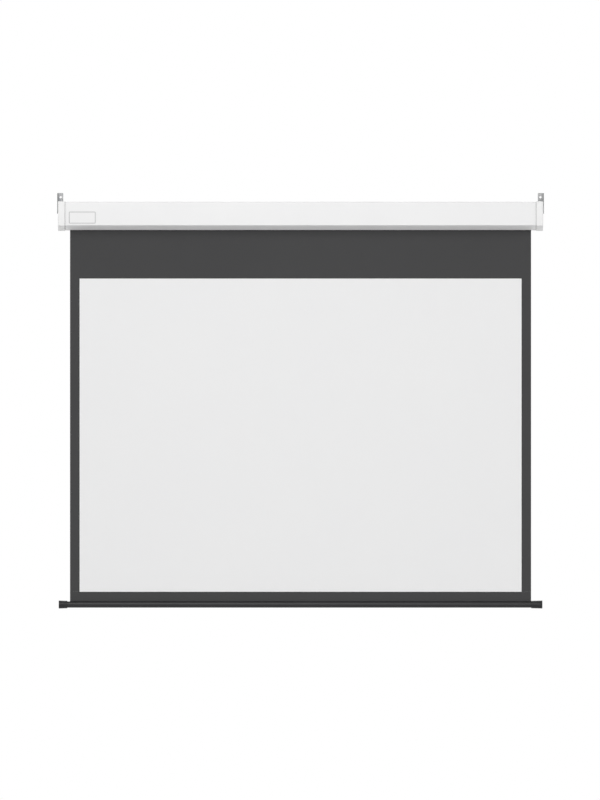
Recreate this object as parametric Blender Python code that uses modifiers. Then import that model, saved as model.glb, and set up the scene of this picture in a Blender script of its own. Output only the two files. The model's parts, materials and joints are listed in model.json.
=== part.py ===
"""Pull down projector screen on a spring roller.

Metres, +Z up, +X to the right of a viewer in front of the screen, which hangs on a wall at
Y = 0. The origin is on the case's back face, at mid length and mid height. The screen is
modelled fully pulled down.
"""

import math

import bmesh
import bpy
from mathutils import Euler, Matrix, Vector

# Clearances
SEAT_GAP = 0.0003
RUN_GAP = 0.0002
SHEET_GAP = 0.00015
TRAVEL_GAP = 0.0011

# Screen fabric, one sheet with a black mask printed round the picture
FABRIC_THICKNESS = 0.00045
PICTURE_WIDTH = 1.460
PICTURE_HEIGHT = 1.0345
SIDE_BORDER = 0.0315
LOWER_BORDER = 0.0314
BLACK_DROP = 0.1595
FABRIC_FROM_WALL = 0.0285

# Case: a folded section, open along a slot in its underside
CASE_PAST_FABRIC = 0.016
CASE_FRONT_HEIGHT = 0.0773
CASE_UNDERSIDE_DROP = 0.0161
CASE_WALL = 0.0015
CASE_FRONT_RADIUS = 0.003
CASE_BACK_RADIUS = 0.0025
SLOT_WIDTH = 0.015
SLOT_HEM = 0.006
HEM_BEND_RADIUS = 0.002
TIGHTEST_BEND = 0.0005

# End caps: plastic mouldings that cover the case's ends
CAP_WIDTH = 0.0229
CAP_STANDS_PROUD = 0.002
CAP_RIM_WALL = 0.0025
CAP_END_WALL = 0.003
CAP_WEB = 0.003
CAP_SPIGOT_LENGTH = 0.008
CAP_SPIGOT_WALL = 0.0015

# Roller support plates, inside the end caps
PLATE_THICKNESS = 0.002
PLATE_FROM_WALL = 0.009
PLATE_BEHIND_RIM = 0.0075
PLATE_BELOW_RIM = 0.003
PLATE_ABOVE_FOOT = 0.0075
PLATE_CORNER_RADIUS = 0.004
BUSH_WALL = 0.003
BUSH_FLANGE_RIM = 0.003
BUSH_FLANGE_THICKNESS = 0.005

# Hanging brackets: bent steel, a strap on the cap's side and an ear with a hook hole
BRACKET_SHEET = 0.003
BRACKET_STRAP_DEPTH = 0.032
BRACKET_STRAP_DROP = 0.040
BRACKET_EAR_WIDTH = 0.0198
BRACKET_EAR_HEIGHT = 0.028
BRACKET_EAR_DEPTH = 0.010
BRACKET_CORNER_RADIUS = 0.003
BRACKET_EAR_CORNER_RADIUS = 0.002
HOOK_HOLE_RADIUS = 0.00375
HOOK_HOLE_HEIGHT = 0.014

# Screws
SCREW_RADIUS = 0.002
SCREW_HEAD_RADIUS = 0.0042
SCREW_HEAD_HEIGHT = 0.0014
SCREW_HEAD_CHAMFER = 0.0007
FLAT_HEAD_RADIUS = 0.0038
SCREW_TIP_CHAMFER = 0.001
SCREW_GRIP_PAST_PLATE = 0.004
BRACKET_SCREW_FROM_WALL = 0.018
BRACKET_SCREW_DROPS = (0.012, 0.031)
CAP_SCREW_INSET = 0.007

# Name plate, left blank
NAME_PLATE_WIDTH = 0.087
NAME_PLATE_HEIGHT = 0.038
NAME_PLATE_THICKNESS = 0.0006
NAME_PLATE_CORNER_RADIUS = 0.002
NAME_PLATE_FROM_CASE_END = 0.0135
NAME_PLATE_BELOW_TOP = 0.033

# Roller
ROLLER_PAST_FABRIC = 0.0125
ROLLER_RADIUS = 0.0185
ROLLER_WALL = 0.0012
WRAPS_LEFT_ON_ROLLER = 2
ROLL_HEADROOM = 0.0115
ROLL_FRONT_ROOM = 0.0063
PLUG_LENGTH = 0.020
PLUG_FLANGE = 0.003
IDLER_PIN_RADIUS = 0.004
IDLER_PIN_LENGTH = 0.050

# Spring and rod, which don't turn
ROD_RADIUS = 0.0045
ROD_TANG_THICKNESS = 0.003
ROD_TANG_LENGTH = 0.012
ROD_PAST_DRIVE_PLUG = 0.005
SPRING_LENGTH = 0.360
SPRING_TURNS = 24
SPRING_MEAN_RADIUS = 0.0105
SPRING_WIRE_RADIUS = 0.0012
SPRING_POINTS_PER_TURN = 8
SPRING_COLLAR_RADIUS = 0.013
SPRING_COLLAR_LENGTH = 0.010

# Ratchet and pawls, at the spring end of the roller
RATCHET_WALL = 0.0035
RATCHET_THICKNESS = 0.004
NOTCH_DEPTH = 0.0023
PAWL_NOSE_PAST_AXIS = 0.0005
PAWL_HALF_WIDTH = 0.0015
PAWL_LIFT = 0.001
PAWL_BOSS_RADIUS = 0.003
PAWL_BOSS_INSET = 0.0002
PAWL_PIN_RADIUS = 0.0013
PAWL_PIN_HEAD_RIM = 0.0011
PAWL_PIN_HEAD_HEIGHT = 0.001

# Weight bar at the fabric's lower edge
BAR_PAST_FABRIC = 0.0345
BAR_RADIUS = 0.01065
BAR_WALL = 0.0012
BAR_SLOT_WIDTH = 0.003
BAR_CAP_WALL = 0.0019
BAR_CAP_FLARE = 0.0008
BAR_CAP_END_WALL = 0.0025
BAR_CAP_CHAMFER = 0.0006
BAR_CAP_LEFT_SLEEVE = 0.0255
HEM_ROD_RADIUS = 0.0035
HEM_ROD_SHORT_OF_FABRIC = 0.0015
POCKET_NECK_PAST_ROUND = 0.0011
HEM_SHORT_OF_NECK = 0.0012

# Facets
TURN_STEPS = 40
SMALL_TURN_STEPS = 16
POCKET_STEPS = 12
ARC_STEPS = 4
SHARP_ANGLE = math.radians(35)
WELD_DISTANCE = 0.000002
CUT_MARGIN = 0.002

# Distances along X from the middle of the screen
FABRIC_EDGE = PICTURE_WIDTH / 2 + SIDE_BORDER
CASE_END = FABRIC_EDGE + CASE_PAST_FABRIC
ROLLER_END = FABRIC_EDGE + ROLLER_PAST_FABRIC
BAR_END = FABRIC_EDGE + BAR_PAST_FABRIC
CAP_INNER_FACE = CASE_END + SEAT_GAP
CAP_OUTER_FACE = CAP_INNER_FACE + CAP_WIDTH
PLATE_OUTER_FACE = CAP_OUTER_FACE - CAP_END_WALL - SEAT_GAP
PLATE_INNER_FACE = PLATE_OUTER_FACE - PLATE_THICKNESS
BRACKET_INNER_FACE = CAP_OUTER_FACE + SEAT_GAP
BRACKET_OUTER_FACE = BRACKET_INNER_FACE + BRACKET_SHEET
CARRIER_FACE = ROLLER_END + SEAT_GAP + PLUG_FLANGE
PAWL_LOW = CARRIER_FACE + SEAT_GAP
PAWL_HIGH = PAWL_LOW + RATCHET_THICKNESS
SPRING_COLLAR_HIGH = ROLLER_END - PLUG_LENGTH - SEAT_GAP
SPRING_COLLAR_LOW = SPRING_COLLAR_HIGH - SPRING_COLLAR_LENGTH
DRIVE_PLUG_HIGH = SPRING_COLLAR_LOW - SPRING_LENGTH - 2 * SEAT_GAP
DRIVE_PLUG_LOW = DRIVE_PLUG_HIGH - PLUG_LENGTH
ROD_LOW = DRIVE_PLUG_LOW - ROD_PAST_DRIVE_PLUG

# Heights, from the middle of the case's back
CASE_HEIGHT = CASE_FRONT_HEIGHT + CASE_UNDERSIDE_DROP
CASE_TOP = CASE_HEIGHT / 2
CASE_LIP = -CASE_HEIGHT / 2
CASE_FRONT_FOOT = CASE_TOP - CASE_FRONT_HEIGHT
CAP_TOP = CASE_TOP + CAP_STANDS_PROUD
PLATE_TOP = CAP_TOP - CAP_RIM_WALL - PLATE_BELOW_RIM
PLATE_FOOT = CASE_FRONT_FOOT + PLATE_ABOVE_FOOT
PICTURE_TOP = CASE_LIP - BLACK_DROP
PICTURE_BOTTOM = PICTURE_TOP - PICTURE_HEIGHT
BAR_TOP = PICTURE_BOTTOM - LOWER_BORDER
BAR_AXIS = BAR_TOP - BAR_RADIUS
BAR_CAP_INNER_RADIUS = BAR_RADIUS + BAR_CAP_WALL
BAR_CAP_OUTER_RADIUS = BAR_CAP_INNER_RADIUS + BAR_CAP_FLARE
TRAVEL = CASE_LIP - CAP_STANDS_PROUD - (BAR_AXIS + BAR_CAP_OUTER_RADIUS) - TRAVEL_GAP

# Roller, and the depth of case that the full roll needs
WRAPS_RADIUS = ROLLER_RADIUS + SHEET_GAP + WRAPS_LEFT_ON_ROLLER * FABRIC_THICKNESS
FULL_ROLL_RADIUS = math.sqrt(WRAPS_RADIUS**2 + FABRIC_THICKNESS * TRAVEL / math.pi)
ROLLER_FROM_WALL = FABRIC_FROM_WALL + FABRIC_THICKNESS / 2 + SEAT_GAP + WRAPS_RADIUS
ROLLER_HEIGHT = CASE_TOP - CASE_WALL - ROLL_HEADROOM - FULL_ROLL_RADIUS
ROLLER_AXIS = Vector((0.0, -ROLLER_FROM_WALL, ROLLER_HEIGHT))
ROLLER_BORE = ROLLER_RADIUS - ROLLER_WALL
PLUG_RADIUS = ROLLER_BORE - SEAT_GAP
CASE_DEPTH = ROLLER_FROM_WALL + FULL_ROLL_RADIUS + ROLL_FRONT_ROOM + CASE_WALL
PLATE_FRONT = -CASE_DEPTH - CAP_STANDS_PROUD + CAP_RIM_WALL + PLATE_BEHIND_RIM
SLOT_FRONT = -FABRIC_FROM_WALL - SLOT_WIDTH / 2
SLOT_BACK = -FABRIC_FROM_WALL + SLOT_WIDTH / 2

# Pawls, from the roller's axis, for the one above it
RATCHET_RADIUS = ROD_RADIUS + RATCHET_WALL
PAWL_PIVOT_ABOVE = RATCHET_RADIUS + PAWL_HALF_WIDTH
PAWL_PIVOT_RADIUS = ROLLER_RADIUS - PAWL_BOSS_RADIUS - PAWL_BOSS_INSET
PAWL_PIVOT_ACROSS = math.sqrt(PAWL_PIVOT_RADIUS**2 - PAWL_PIVOT_ABOVE**2)
PAWL_DROP = PAWL_HALF_WIDTH + RATCHET_RADIUS - NOTCH_DEPTH - PAWL_PIVOT_ABOVE
PAWL_REACH = math.hypot(PAWL_NOSE_PAST_AXIS + PAWL_PIVOT_ACROSS, PAWL_DROP)
PAWL_DIRECTION = math.atan2(PAWL_DROP, -PAWL_NOSE_PAST_AXIS - PAWL_PIVOT_ACROSS)
PAWL_SWING = math.asin((NOTCH_DEPTH + PAWL_LIFT) / PAWL_REACH)

# Hem pocket: its rod lies as high in the bar as the lips of the bar's slot let it
POCKET_RADIUS = HEM_ROD_RADIUS + SHEET_GAP + FABRIC_THICKNESS / 2
POCKET_NECK = POCKET_RADIUS + POCKET_NECK_PAST_ROUND
POCKET_SHOULDER = math.asin(POCKET_RADIUS / POCKET_NECK)
BAR_LIP = math.sqrt((BAR_RADIUS - BAR_WALL) ** 2 - (BAR_SLOT_WIDTH / 2) ** 2)
SHOULDER_FROM_ROD = POCKET_RADIUS + FABRIC_THICKNESS / 2 + SEAT_GAP
LIP_ACROSS = BAR_SLOT_WIDTH / 2 * math.cos(POCKET_SHOULDER)
HEM_ROD_ABOVE_AXIS = BAR_LIP - (SHOULDER_FROM_ROD - LIP_ACROSS) / math.sin(POCKET_SHOULDER)

LEFT, RIGHT = -1, 1
ALONG_X = (0.0, math.radians(90), 0.0)
FACING_X = (math.radians(90), 0.0, math.radians(90))
FACING_FRONT = (math.radians(90), 0.0, 0.0)


def clear_scene():
    """Remove every object of the open scene."""
    for old in list(bpy.data.objects):
        bpy.data.objects.remove(old, do_unlink=True)


def new_collection(name):
    """A collection of the open scene."""
    collection = bpy.data.collections.new(name)
    bpy.context.scene.collection.children.link(collection)
    return collection


def finish(name, colour, roughness, metallic=0.0):
    """A plain Principled material."""
    made = bpy.data.materials.new(name)
    made.use_nodes = True
    shader = made.node_tree.nodes["Principled BSDF"]
    shader.inputs["Base Color"].default_value = (*colour, 1.0)
    shader.inputs["Roughness"].default_value = roughness
    shader.inputs["Metallic"].default_value = metallic
    return made


def empty_at(name, place):
    """An empty that marks a joint's axis; the pieces that move with it are its children."""
    marker = bpy.data.objects.new(name, None)
    marker.empty_display_size = 0.02
    marker.location = place
    PART.objects.link(marker)
    return marker


def add(name, data, coat, place=(0.0, 0.0, 0.0), turn=(0.0, 0.0, 0.0), carrier=None):
    """Put mesh or curve data in the part, at a world place, under the empty that carries it."""
    made = bpy.data.objects.new(name, data)
    data.materials.append(coat)
    made.rotation_euler = turn
    made.location = Vector(place)
    if carrier is not None:
        made.parent = carrier
        made.location = Vector(place) - carrier.location
    PART.objects.link(made)
    return made


def settled(source):
    """The piece as one welded mesh, smooth but for its sharp edges, in the source's place."""
    bpy.context.view_layer.update()
    graph = bpy.context.evaluated_depsgraph_get()
    mesh = bpy.data.meshes.new_from_object(source.evaluated_get(graph), depsgraph=graph)
    shape = bmesh.new()
    shape.from_mesh(mesh)
    bmesh.ops.remove_doubles(shape, verts=shape.verts, dist=WELD_DISTANCE)
    bmesh.ops.recalc_face_normals(shape, faces=shape.faces)
    shape.to_mesh(mesh)
    shape.free()
    mesh.shade_smooth()
    mesh.set_sharp_from_angle(angle=SHARP_ANGLE)
    name, parent = source.name, source.parent
    place, turn = source.location.copy(), source.rotation_euler.copy()
    bpy.data.objects.remove(source, do_unlink=True)
    mesh.name = name
    made = bpy.data.objects.new(name, mesh)
    made.location, made.rotation_euler, made.parent = place, turn, parent
    PART.objects.link(made)
    return made


def turned(name, profile, coat, place, ring=False, steps=TURN_STEPS, carrier=None):
    """A round piece along X.

    profile holds (radius, x) points. It starts at the end of greatest x and runs down the
    outer side; a ring's profile is a closed loop, and any other starts and ends on the axis.
    place is a point on the axis, from which the profile's x is counted.
    """
    count = len(profile)
    edges = [(i, (i + 1) % count) for i in range(count if ring else count - 1)]
    mesh = bpy.data.meshes.new(name)
    mesh.from_pydata([(radius, 0.0, x) for radius, x in profile], edges, [])
    made = add(name, mesh, coat, place, ALONG_X, carrier)
    turn = made.modifiers.new("turn", "SCREW")
    turn.steps = turn.render_steps = steps
    turn.use_merge_vertices = True
    turn.merge_threshold = WELD_DISTANCE
    return settled(made)


def rod_profile(radius, low, high):
    """The profile of a solid rod between two distances along the axis."""
    return [(0.0, high), (radius, high), (radius, low), (0.0, low)]


def ring_profile(outer, inner, low, high):
    """The closed profile of a plain tube between two distances along the axis."""
    return [(outer, high), (outer, low), (inner, low), (inner, high)]


def circle(centre, radius, steps=SMALL_TURN_STEPS):
    """A closed round outline."""
    angles = [2 * math.pi * i / steps for i in range(steps)]
    return [
        (centre[0] + radius * math.cos(a), centre[1] + radius * math.sin(a)) for a in angles
    ]


def rounded(corners, radii):
    """A closed outline with an arc of the given radius at each corner, or none where it is 0."""
    outline = []
    for i, corner in enumerate(corners):
        if radii[i] == 0.0:
            outline.append(tuple(corner))
            continue
        here = Vector(corner)
        back = (Vector(corners[i - 1]) - here).normalized()
        on = (Vector(corners[(i + 1) % len(corners)]) - here).normalized()
        half = back.angle(on) / 2
        reach = radii[i] / math.tan(half)
        centre = here + (back + on).normalized() * (radii[i] / math.sin(half))
        first, last = here + back * reach - centre, here + on * reach - centre
        sweep = first.angle_signed(last)
        start = math.atan2(first.y, first.x)
        for step in range(ARC_STEPS + 1):
            a = start - sweep * step / ARC_STEPS
            outline.append(
                (centre.x + radii[i] * math.cos(a), centre.y + radii[i] * math.sin(a))
            )
    return outline


def rectangle(low, high, radius):
    """A closed outline between two corners, each corner rounded."""
    corners = [(low[0], low[1]), (high[0], low[1]), (high[0], high[1]), (low[0], high[1])]
    return rounded(corners, [radius] * 4)


def flat(name, loops, thickness, coat, place, turn, carrier=None):
    """A flat piece from closed outlines; the first is its edge and the others are holes."""
    curve = bpy.data.curves.new(name, "CURVE")
    curve.dimensions = "2D"
    curve.fill_mode = "BOTH"
    curve.extrude = thickness / 2
    for loop in loops:
        spline = curve.splines.new("POLY")
        spline.points.add(len(loop) - 1)
        for point, (x, y) in zip(spline.points, loop):
            point.co = (x, y, 0.0, 1.0)
        spline.use_cyclic_u = True
    return settled(add(name, curve, coat, place, turn, carrier))


def block(name, low, high, coat):
    """A plain box between two world corners."""
    shape = bmesh.new()
    bmesh.ops.create_cube(shape, size=1.0)
    size = Vector(high) - Vector(low)
    bmesh.ops.scale(shape, vec=size, verts=shape.verts)
    mesh = bpy.data.meshes.new(name)
    shape.to_mesh(mesh)
    shape.free()
    return add(name, mesh, coat, (Vector(low) + Vector(high)) / 2)


def combine(piece, other, operation):
    """Cut another shape from a piece, or join the two; the other becomes a hidden helper."""
    change = piece.modifiers.new(operation.lower(), "BOOLEAN")
    change.operation = operation
    change.solver = "EXACT"
    change.object = other
    PART.objects.unlink(other)
    CUTTERS.objects.link(other)
    other.hide_render = True
    other.display_type = "WIRE"


def cut(piece, other):
    """Take another shape out of a piece."""
    combine(piece, other, "DIFFERENCE")


def folded_sheet(
    name, profile, stops, wall, coats, place, carrier=None, coat_of=None, offset=1.0
):
    """A sheet whose (y, z) profile is drawn along X between the stops, then thickened.

    An offset of 1 puts the thickness on the profile's left side, and 0 half on each side.
    coat_of gives the material number of the strip between two profile points and two stops.
    """
    shape = bmesh.new()
    rows = [[shape.verts.new((x, y, z)) for y, z in profile] for x in stops]
    for across, (here, there) in enumerate(zip(rows, rows[1:])):
        for along in range(len(profile) - 1):
            quad = shape.faces.new(
                (here[along], there[along], there[along + 1], here[along + 1])
            )
            quad.material_index = coat_of(across, along) if coat_of else 0
    mesh = bpy.data.meshes.new(name)
    shape.to_mesh(mesh)
    shape.free()
    made = add(name, mesh, coats[0], place, carrier=carrier)
    for coat in coats[1:]:
        mesh.materials.append(coat)
    thicken = made.modifiers.new("thicken", "SOLIDIFY")
    thicken.thickness = wall
    thicken.offset = offset
    thicken.use_even_offset = True
    thicken.material_offset = len(coats) - 1
    thicken.material_offset_rim = len(coats) - 1
    return made


def arc(centre, radius, start_deg, end_deg, steps):
    """Points of an arc, both ends included."""
    angles = [
        math.radians(start_deg + (end_deg - start_deg) * i / steps) for i in range(steps + 1)
    ]
    return [
        (centre[0] + radius * math.cos(a), centre[1] + radius * math.sin(a)) for a in angles
    ]


def case_corners(grow, back=0.0):
    """The case's outer section, each side but the back moved out by grow.

    The corners run from the back of the underside up the wall, over the top and down the
    front to the front lip of the slot. back is how far the back lies in front of the wall.
    """
    slope = math.atan2(CASE_UNDERSIDE_DROP, SLOT_FRONT + CASE_DEPTH)
    front_foot = CASE_FRONT_FOOT - grow * (1 - math.sin(slope)) / math.cos(slope)
    lip = SLOT_FRONT - grow * (1 - math.cos(slope)) / math.sin(slope)
    return [
        (-back, CASE_LIP - grow),
        (-back, CASE_TOP + grow),
        (-CASE_DEPTH - grow, CASE_TOP + grow),
        (-CASE_DEPTH - grow, front_foot),
        (lip, CASE_LIP - grow),
    ]


def case_outline(grow, back):
    """The closed section, with corners that stay parallel to the case's own."""
    bends = [
        CASE_BACK_RADIUS,
        CASE_BACK_RADIUS,
        CASE_FRONT_RADIUS,
        CASE_FRONT_RADIUS,
        HEM_BEND_RADIUS,
    ]
    radii = [max(bend + grow, TIGHTEST_BEND) for bend in bends]
    return rounded(case_corners(grow, back), radii)


def section_block(name, grow, back, ends, side):
    """A solid length of the case's section, grown or shrunk, at one end of the screen."""
    low, high = ends
    centre = (side * (low + high) / 2, 0.0, 0.0)
    return flat(name, [case_outline(grow, back)], high - low, WHITE_PLASTIC, centre, FACING_X)


def make_case():
    """The open section: back hem, underside, wall side, top, front, slope and front hem."""
    corners = case_corners(0.0)
    hem_top = CASE_LIP + SLOT_HEM
    path = [(SLOT_BACK, hem_top), (SLOT_BACK, CASE_LIP), *corners, (SLOT_FRONT, hem_top)]
    bends = [
        0.0,
        HEM_BEND_RADIUS,
        CASE_BACK_RADIUS,
        CASE_BACK_RADIUS,
        CASE_FRONT_RADIUS,
        CASE_FRONT_RADIUS,
        HEM_BEND_RADIUS,
        0.0,
    ]
    folded_sheet(
        "case_shell",
        rounded(path, bends),
        (-CASE_END, CASE_END),
        CASE_WALL,
        [WHITE_COAT],
        (0.0, 0.0, 0.0),
    )


def bracket_screw_places():
    """The two screws that hold a bracket, its cap and its plate together near the wall."""
    return [(-BRACKET_SCREW_FROM_WALL, CAP_TOP - drop) for drop in BRACKET_SCREW_DROPS]


def cap_screw_places():
    """The two screws in the front corners of the support plate."""
    front = PLATE_FRONT + CAP_SCREW_INSET
    return [(front, PLATE_TOP - CAP_SCREW_INSET), (front, PLATE_FOOT + CAP_SCREW_INSET)]


def pan_head(seat):
    """The profile of a low round head on a seat, from its axis to its shank."""
    low = seat + SEAT_GAP
    high = low + SCREW_HEAD_HEIGHT
    return [
        (0.0, high),
        (SCREW_HEAD_RADIUS - SCREW_HEAD_CHAMFER, high),
        (SCREW_HEAD_RADIUS, high - SCREW_HEAD_CHAMFER),
        (SCREW_HEAD_RADIUS, low),
        (SCREW_RADIUS, low),
    ]


def flat_head(face):
    """The profile of a countersunk head flush with a face, from its axis to its shank."""
    foot = face - FLAT_HEAD_RADIUS + SCREW_RADIUS
    return [(0.0, face), (FLAT_HEAD_RADIUS, face), (SCREW_RADIUS, foot)]


def screw(name, place, head, side):
    """A screw whose shank runs through the cap and the plate, from its head's profile."""
    end = PLATE_INNER_FACE - SCREW_GRIP_PAST_PLATE
    profile = [
        *head,
        (SCREW_RADIUS, end + SCREW_TIP_CHAMFER),
        (SCREW_RADIUS - SCREW_TIP_CHAMFER, end),
        (0.0, end),
    ]
    if side == LEFT:
        profile = [(radius, -x) for radius, x in profile]
    turned(name, profile, ZINC_STEEL, (0.0, *place), steps=SMALL_TURN_STEPS)


def make_cap(side, word):
    """One end cap: a rim that covers the case's end, a spigot inside it, and an end wall."""
    web = CAP_INNER_FACE + CAP_WEB
    end_wall = CAP_OUTER_FACE - CAP_END_WALL
    spigot_low = CAP_INNER_FACE - CAP_SPIGOT_LENGTH
    spigot_shrink = CASE_WALL + SEAT_GAP
    bore_shrink = spigot_shrink + CAP_SPIGOT_WALL
    body = (CAP_INNER_FACE, CAP_OUTER_FACE)
    cap = section_block(f"end_cap_{word}", CAP_STANDS_PROUD, 0.0, body, side)
    spigot = section_block("spigot", -spigot_shrink, spigot_shrink, (spigot_low, web), side)
    combine(cap, spigot, "UNION")
    bore_ends = (spigot_low - CUT_MARGIN, web + CUT_MARGIN)
    cut(cap, section_block("bore", -bore_shrink, bore_shrink, bore_ends, side))
    hollow_grow = CAP_STANDS_PROUD - CAP_RIM_WALL
    hollow_back = max(CAP_RIM_WALL, bore_shrink)
    cut(cap, section_block("hollow", hollow_grow, hollow_back, (web, end_wall), side))
    room = CASE_WALL + HEM_BEND_RADIUS
    hem_room = block(
        "hem_room",
        (spigot_low - CUT_MARGIN, SLOT_FRONT - room, CASE_LIP - CUT_MARGIN),
        (CASE_END, SLOT_BACK + room, CASE_LIP + SLOT_HEM + SEAT_GAP),
        WHITE_PLASTIC,
    )
    hem_room.location.x *= side
    cut(cap, hem_room)
    for place in bracket_screw_places():
        hole(cap, "screw_hole", place, SCREW_RADIUS + RUN_GAP, end_wall, CAP_OUTER_FACE, side)
    counterbore = CAP_OUTER_FACE - SCREW_HEAD_HEIGHT - SEAT_GAP
    for place in cap_screw_places():
        hole(cap, "screw_hole", place, SCREW_RADIUS + RUN_GAP, end_wall, counterbore, side)
        head = SCREW_HEAD_RADIUS + SEAT_GAP
        hole(cap, "head_recess", place, head, counterbore, CAP_OUTER_FACE, side, 0.0)
    settled(cap)
    for level, place in zip(("upper", "lower"), cap_screw_places()):
        screw(f"cap_screw_{word}_{level}", place, pan_head(counterbore), side)


def hole(piece, name, place, radius, low, high, side, start_margin=CUT_MARGIN):
    """Cut a round hole along X between two distances from the middle of the screen."""
    ends = sorted((side * (low - start_margin), side * (high + CUT_MARGIN)))
    tool = turned(
        name, rod_profile(radius, *ends), ZINC_STEEL, (0.0, *place), steps=SMALL_TURN_STEPS
    )
    cut(piece, tool)


def countersink(piece, place, face, side):
    """Cut the seat of a countersunk head into a face, with a gap all round the head."""
    wide = FLAT_HEAD_RADIUS + math.sqrt(2) * SEAT_GAP
    narrow = SCREW_RADIUS - SEAT_GAP
    profile = [
        (0.0, face + CUT_MARGIN),
        (wide + CUT_MARGIN, face + CUT_MARGIN),
        (narrow, face + narrow - wide),
        (0.0, face + narrow - wide),
    ]
    if side == LEFT:
        profile = [(radius, -x) for radius, x in profile]
    tool = turned("countersink", profile, ZINC_STEEL, (0.0, *place), steps=SMALL_TURN_STEPS)
    cut(piece, tool)


def make_bracket(side, word):
    """A strap screwed to the cap's side, bent into an ear that stands above the cap."""
    low = CAP_TOP - BRACKET_STRAP_DROP
    high = CAP_TOP + BRACKET_EAR_HEIGHT
    radius = BRACKET_CORNER_RADIUS
    strap_outline = rounded(
        [
            (0.0, low),
            (0.0, high),
            (-BRACKET_EAR_DEPTH, high),
            (-BRACKET_STRAP_DEPTH, CAP_TOP - radius),
            (-BRACKET_STRAP_DEPTH, low),
        ],
        [radius, 0.0, radius, radius, radius],
    )
    hole_radius = SCREW_RADIUS + RUN_GAP
    holes = [circle(place, hole_radius) for place in bracket_screw_places()]
    middle = side * (BRACKET_INNER_FACE + BRACKET_OUTER_FACE) / 2
    bracket = flat(
        f"hanging_bracket_{word}",
        [strap_outline, *holes],
        BRACKET_SHEET,
        ZINC_STEEL,
        (middle, 0.0, 0.0),
        FACING_X,
    )
    ear_low = CAP_TOP + SEAT_GAP
    inner = BRACKET_OUTER_FACE - BRACKET_EAR_WIDTH
    ends = sorted((side * inner, side * (BRACKET_OUTER_FACE - BRACKET_SHEET / 2)))
    corner = BRACKET_EAR_CORNER_RADIUS
    ear_outline = rounded(
        [(ends[0], ear_low), (ends[1], ear_low), (ends[1], high), (ends[0], high)],
        [corner, 0.0, 0.0, corner] if side == RIGHT else [0.0, corner, corner, 0.0],
    )
    hook = (side * (inner + BRACKET_INNER_FACE) / 2, CAP_TOP + HOOK_HOLE_HEIGHT)
    ear = flat(
        "ear",
        [ear_outline, circle(hook, HOOK_HOLE_RADIUS, TURN_STEPS)],
        BRACKET_SHEET,
        ZINC_STEEL,
        (0.0, -BRACKET_SHEET / 2, 0.0),
        FACING_FRONT,
    )
    combine(bracket, ear, "UNION")
    for place in bracket_screw_places():
        countersink(bracket, place, BRACKET_OUTER_FACE, side)
    settled(bracket)
    for level, place in zip(("upper", "lower"), bracket_screw_places()):
        screw(f"bracket_screw_{word}_{level}", place, flat_head(BRACKET_OUTER_FACE), side)


def make_plate(name, side, middle_hole):
    """A roller support plate, held to the end cap by all four of its screws."""
    outline = rectangle(
        (PLATE_FRONT, PLATE_FOOT), (-PLATE_FROM_WALL, PLATE_TOP), PLATE_CORNER_RADIUS
    )
    places = bracket_screw_places() + cap_screw_places()
    holes = [circle(place, SCREW_RADIUS + RUN_GAP) for place in places]
    middle = side * (PLATE_INNER_FACE + PLATE_OUTER_FACE) / 2
    flat(
        name,
        [outline, middle_hole, *holes],
        PLATE_THICKNESS,
        ZINC_STEEL,
        (middle, 0.0, 0.0),
        FACING_X,
    )


def make_supports():
    """The plates, with a plain bush for the idler pin and a slot that keys the rod."""
    axis = (-ROLLER_FROM_WALL, ROLLER_HEIGHT)
    barrel = IDLER_PIN_RADIUS + BUSH_WALL
    bush_hole = circle(axis, barrel + RUN_GAP, TURN_STEPS)
    make_plate("idler_plate", LEFT, bush_hole)
    slot = rectangle(
        (axis[0] - ROD_TANG_THICKNESS / 2 - RUN_GAP, axis[1] - ROD_RADIUS - RUN_GAP),
        (axis[0] + ROD_TANG_THICKNESS / 2 + RUN_GAP, axis[1] + ROD_RADIUS + RUN_GAP),
        RUN_GAP,
    )
    make_plate("rod_plate", RIGHT, slot)
    flange_low = -PLATE_INNER_FACE + SEAT_GAP
    flange_high = flange_low + BUSH_FLANGE_THICKNESS
    bore = IDLER_PIN_RADIUS + RUN_GAP
    profile = [
        (barrel + BUSH_FLANGE_RIM, flange_high),
        (barrel + BUSH_FLANGE_RIM, flange_low),
        (barrel, flange_low),
        (barrel, -PLATE_OUTER_FACE),
        (bore, -PLATE_OUTER_FACE),
        (bore, flange_high),
    ]
    turned("idler_bush", profile, NATURAL_NYLON, ROLLER_AXIS, ring=True)


def make_name_plate():
    """The blank plate on the case's front, near its left end."""
    left = -CASE_END + NAME_PLATE_FROM_CASE_END
    high = CASE_TOP - NAME_PLATE_BELOW_TOP
    outline = rectangle(
        (left, high - NAME_PLATE_HEIGHT),
        (left + NAME_PLATE_WIDTH, high),
        NAME_PLATE_CORNER_RADIUS,
    )
    depth = -CASE_DEPTH - SHEET_GAP - NAME_PLATE_THICKNESS / 2
    flat(
        "name_plate",
        [outline],
        NAME_PLATE_THICKNESS,
        WHITE_PLASTIC,
        (0.0, depth, 0.0),
        FACING_FRONT,
    )


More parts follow.
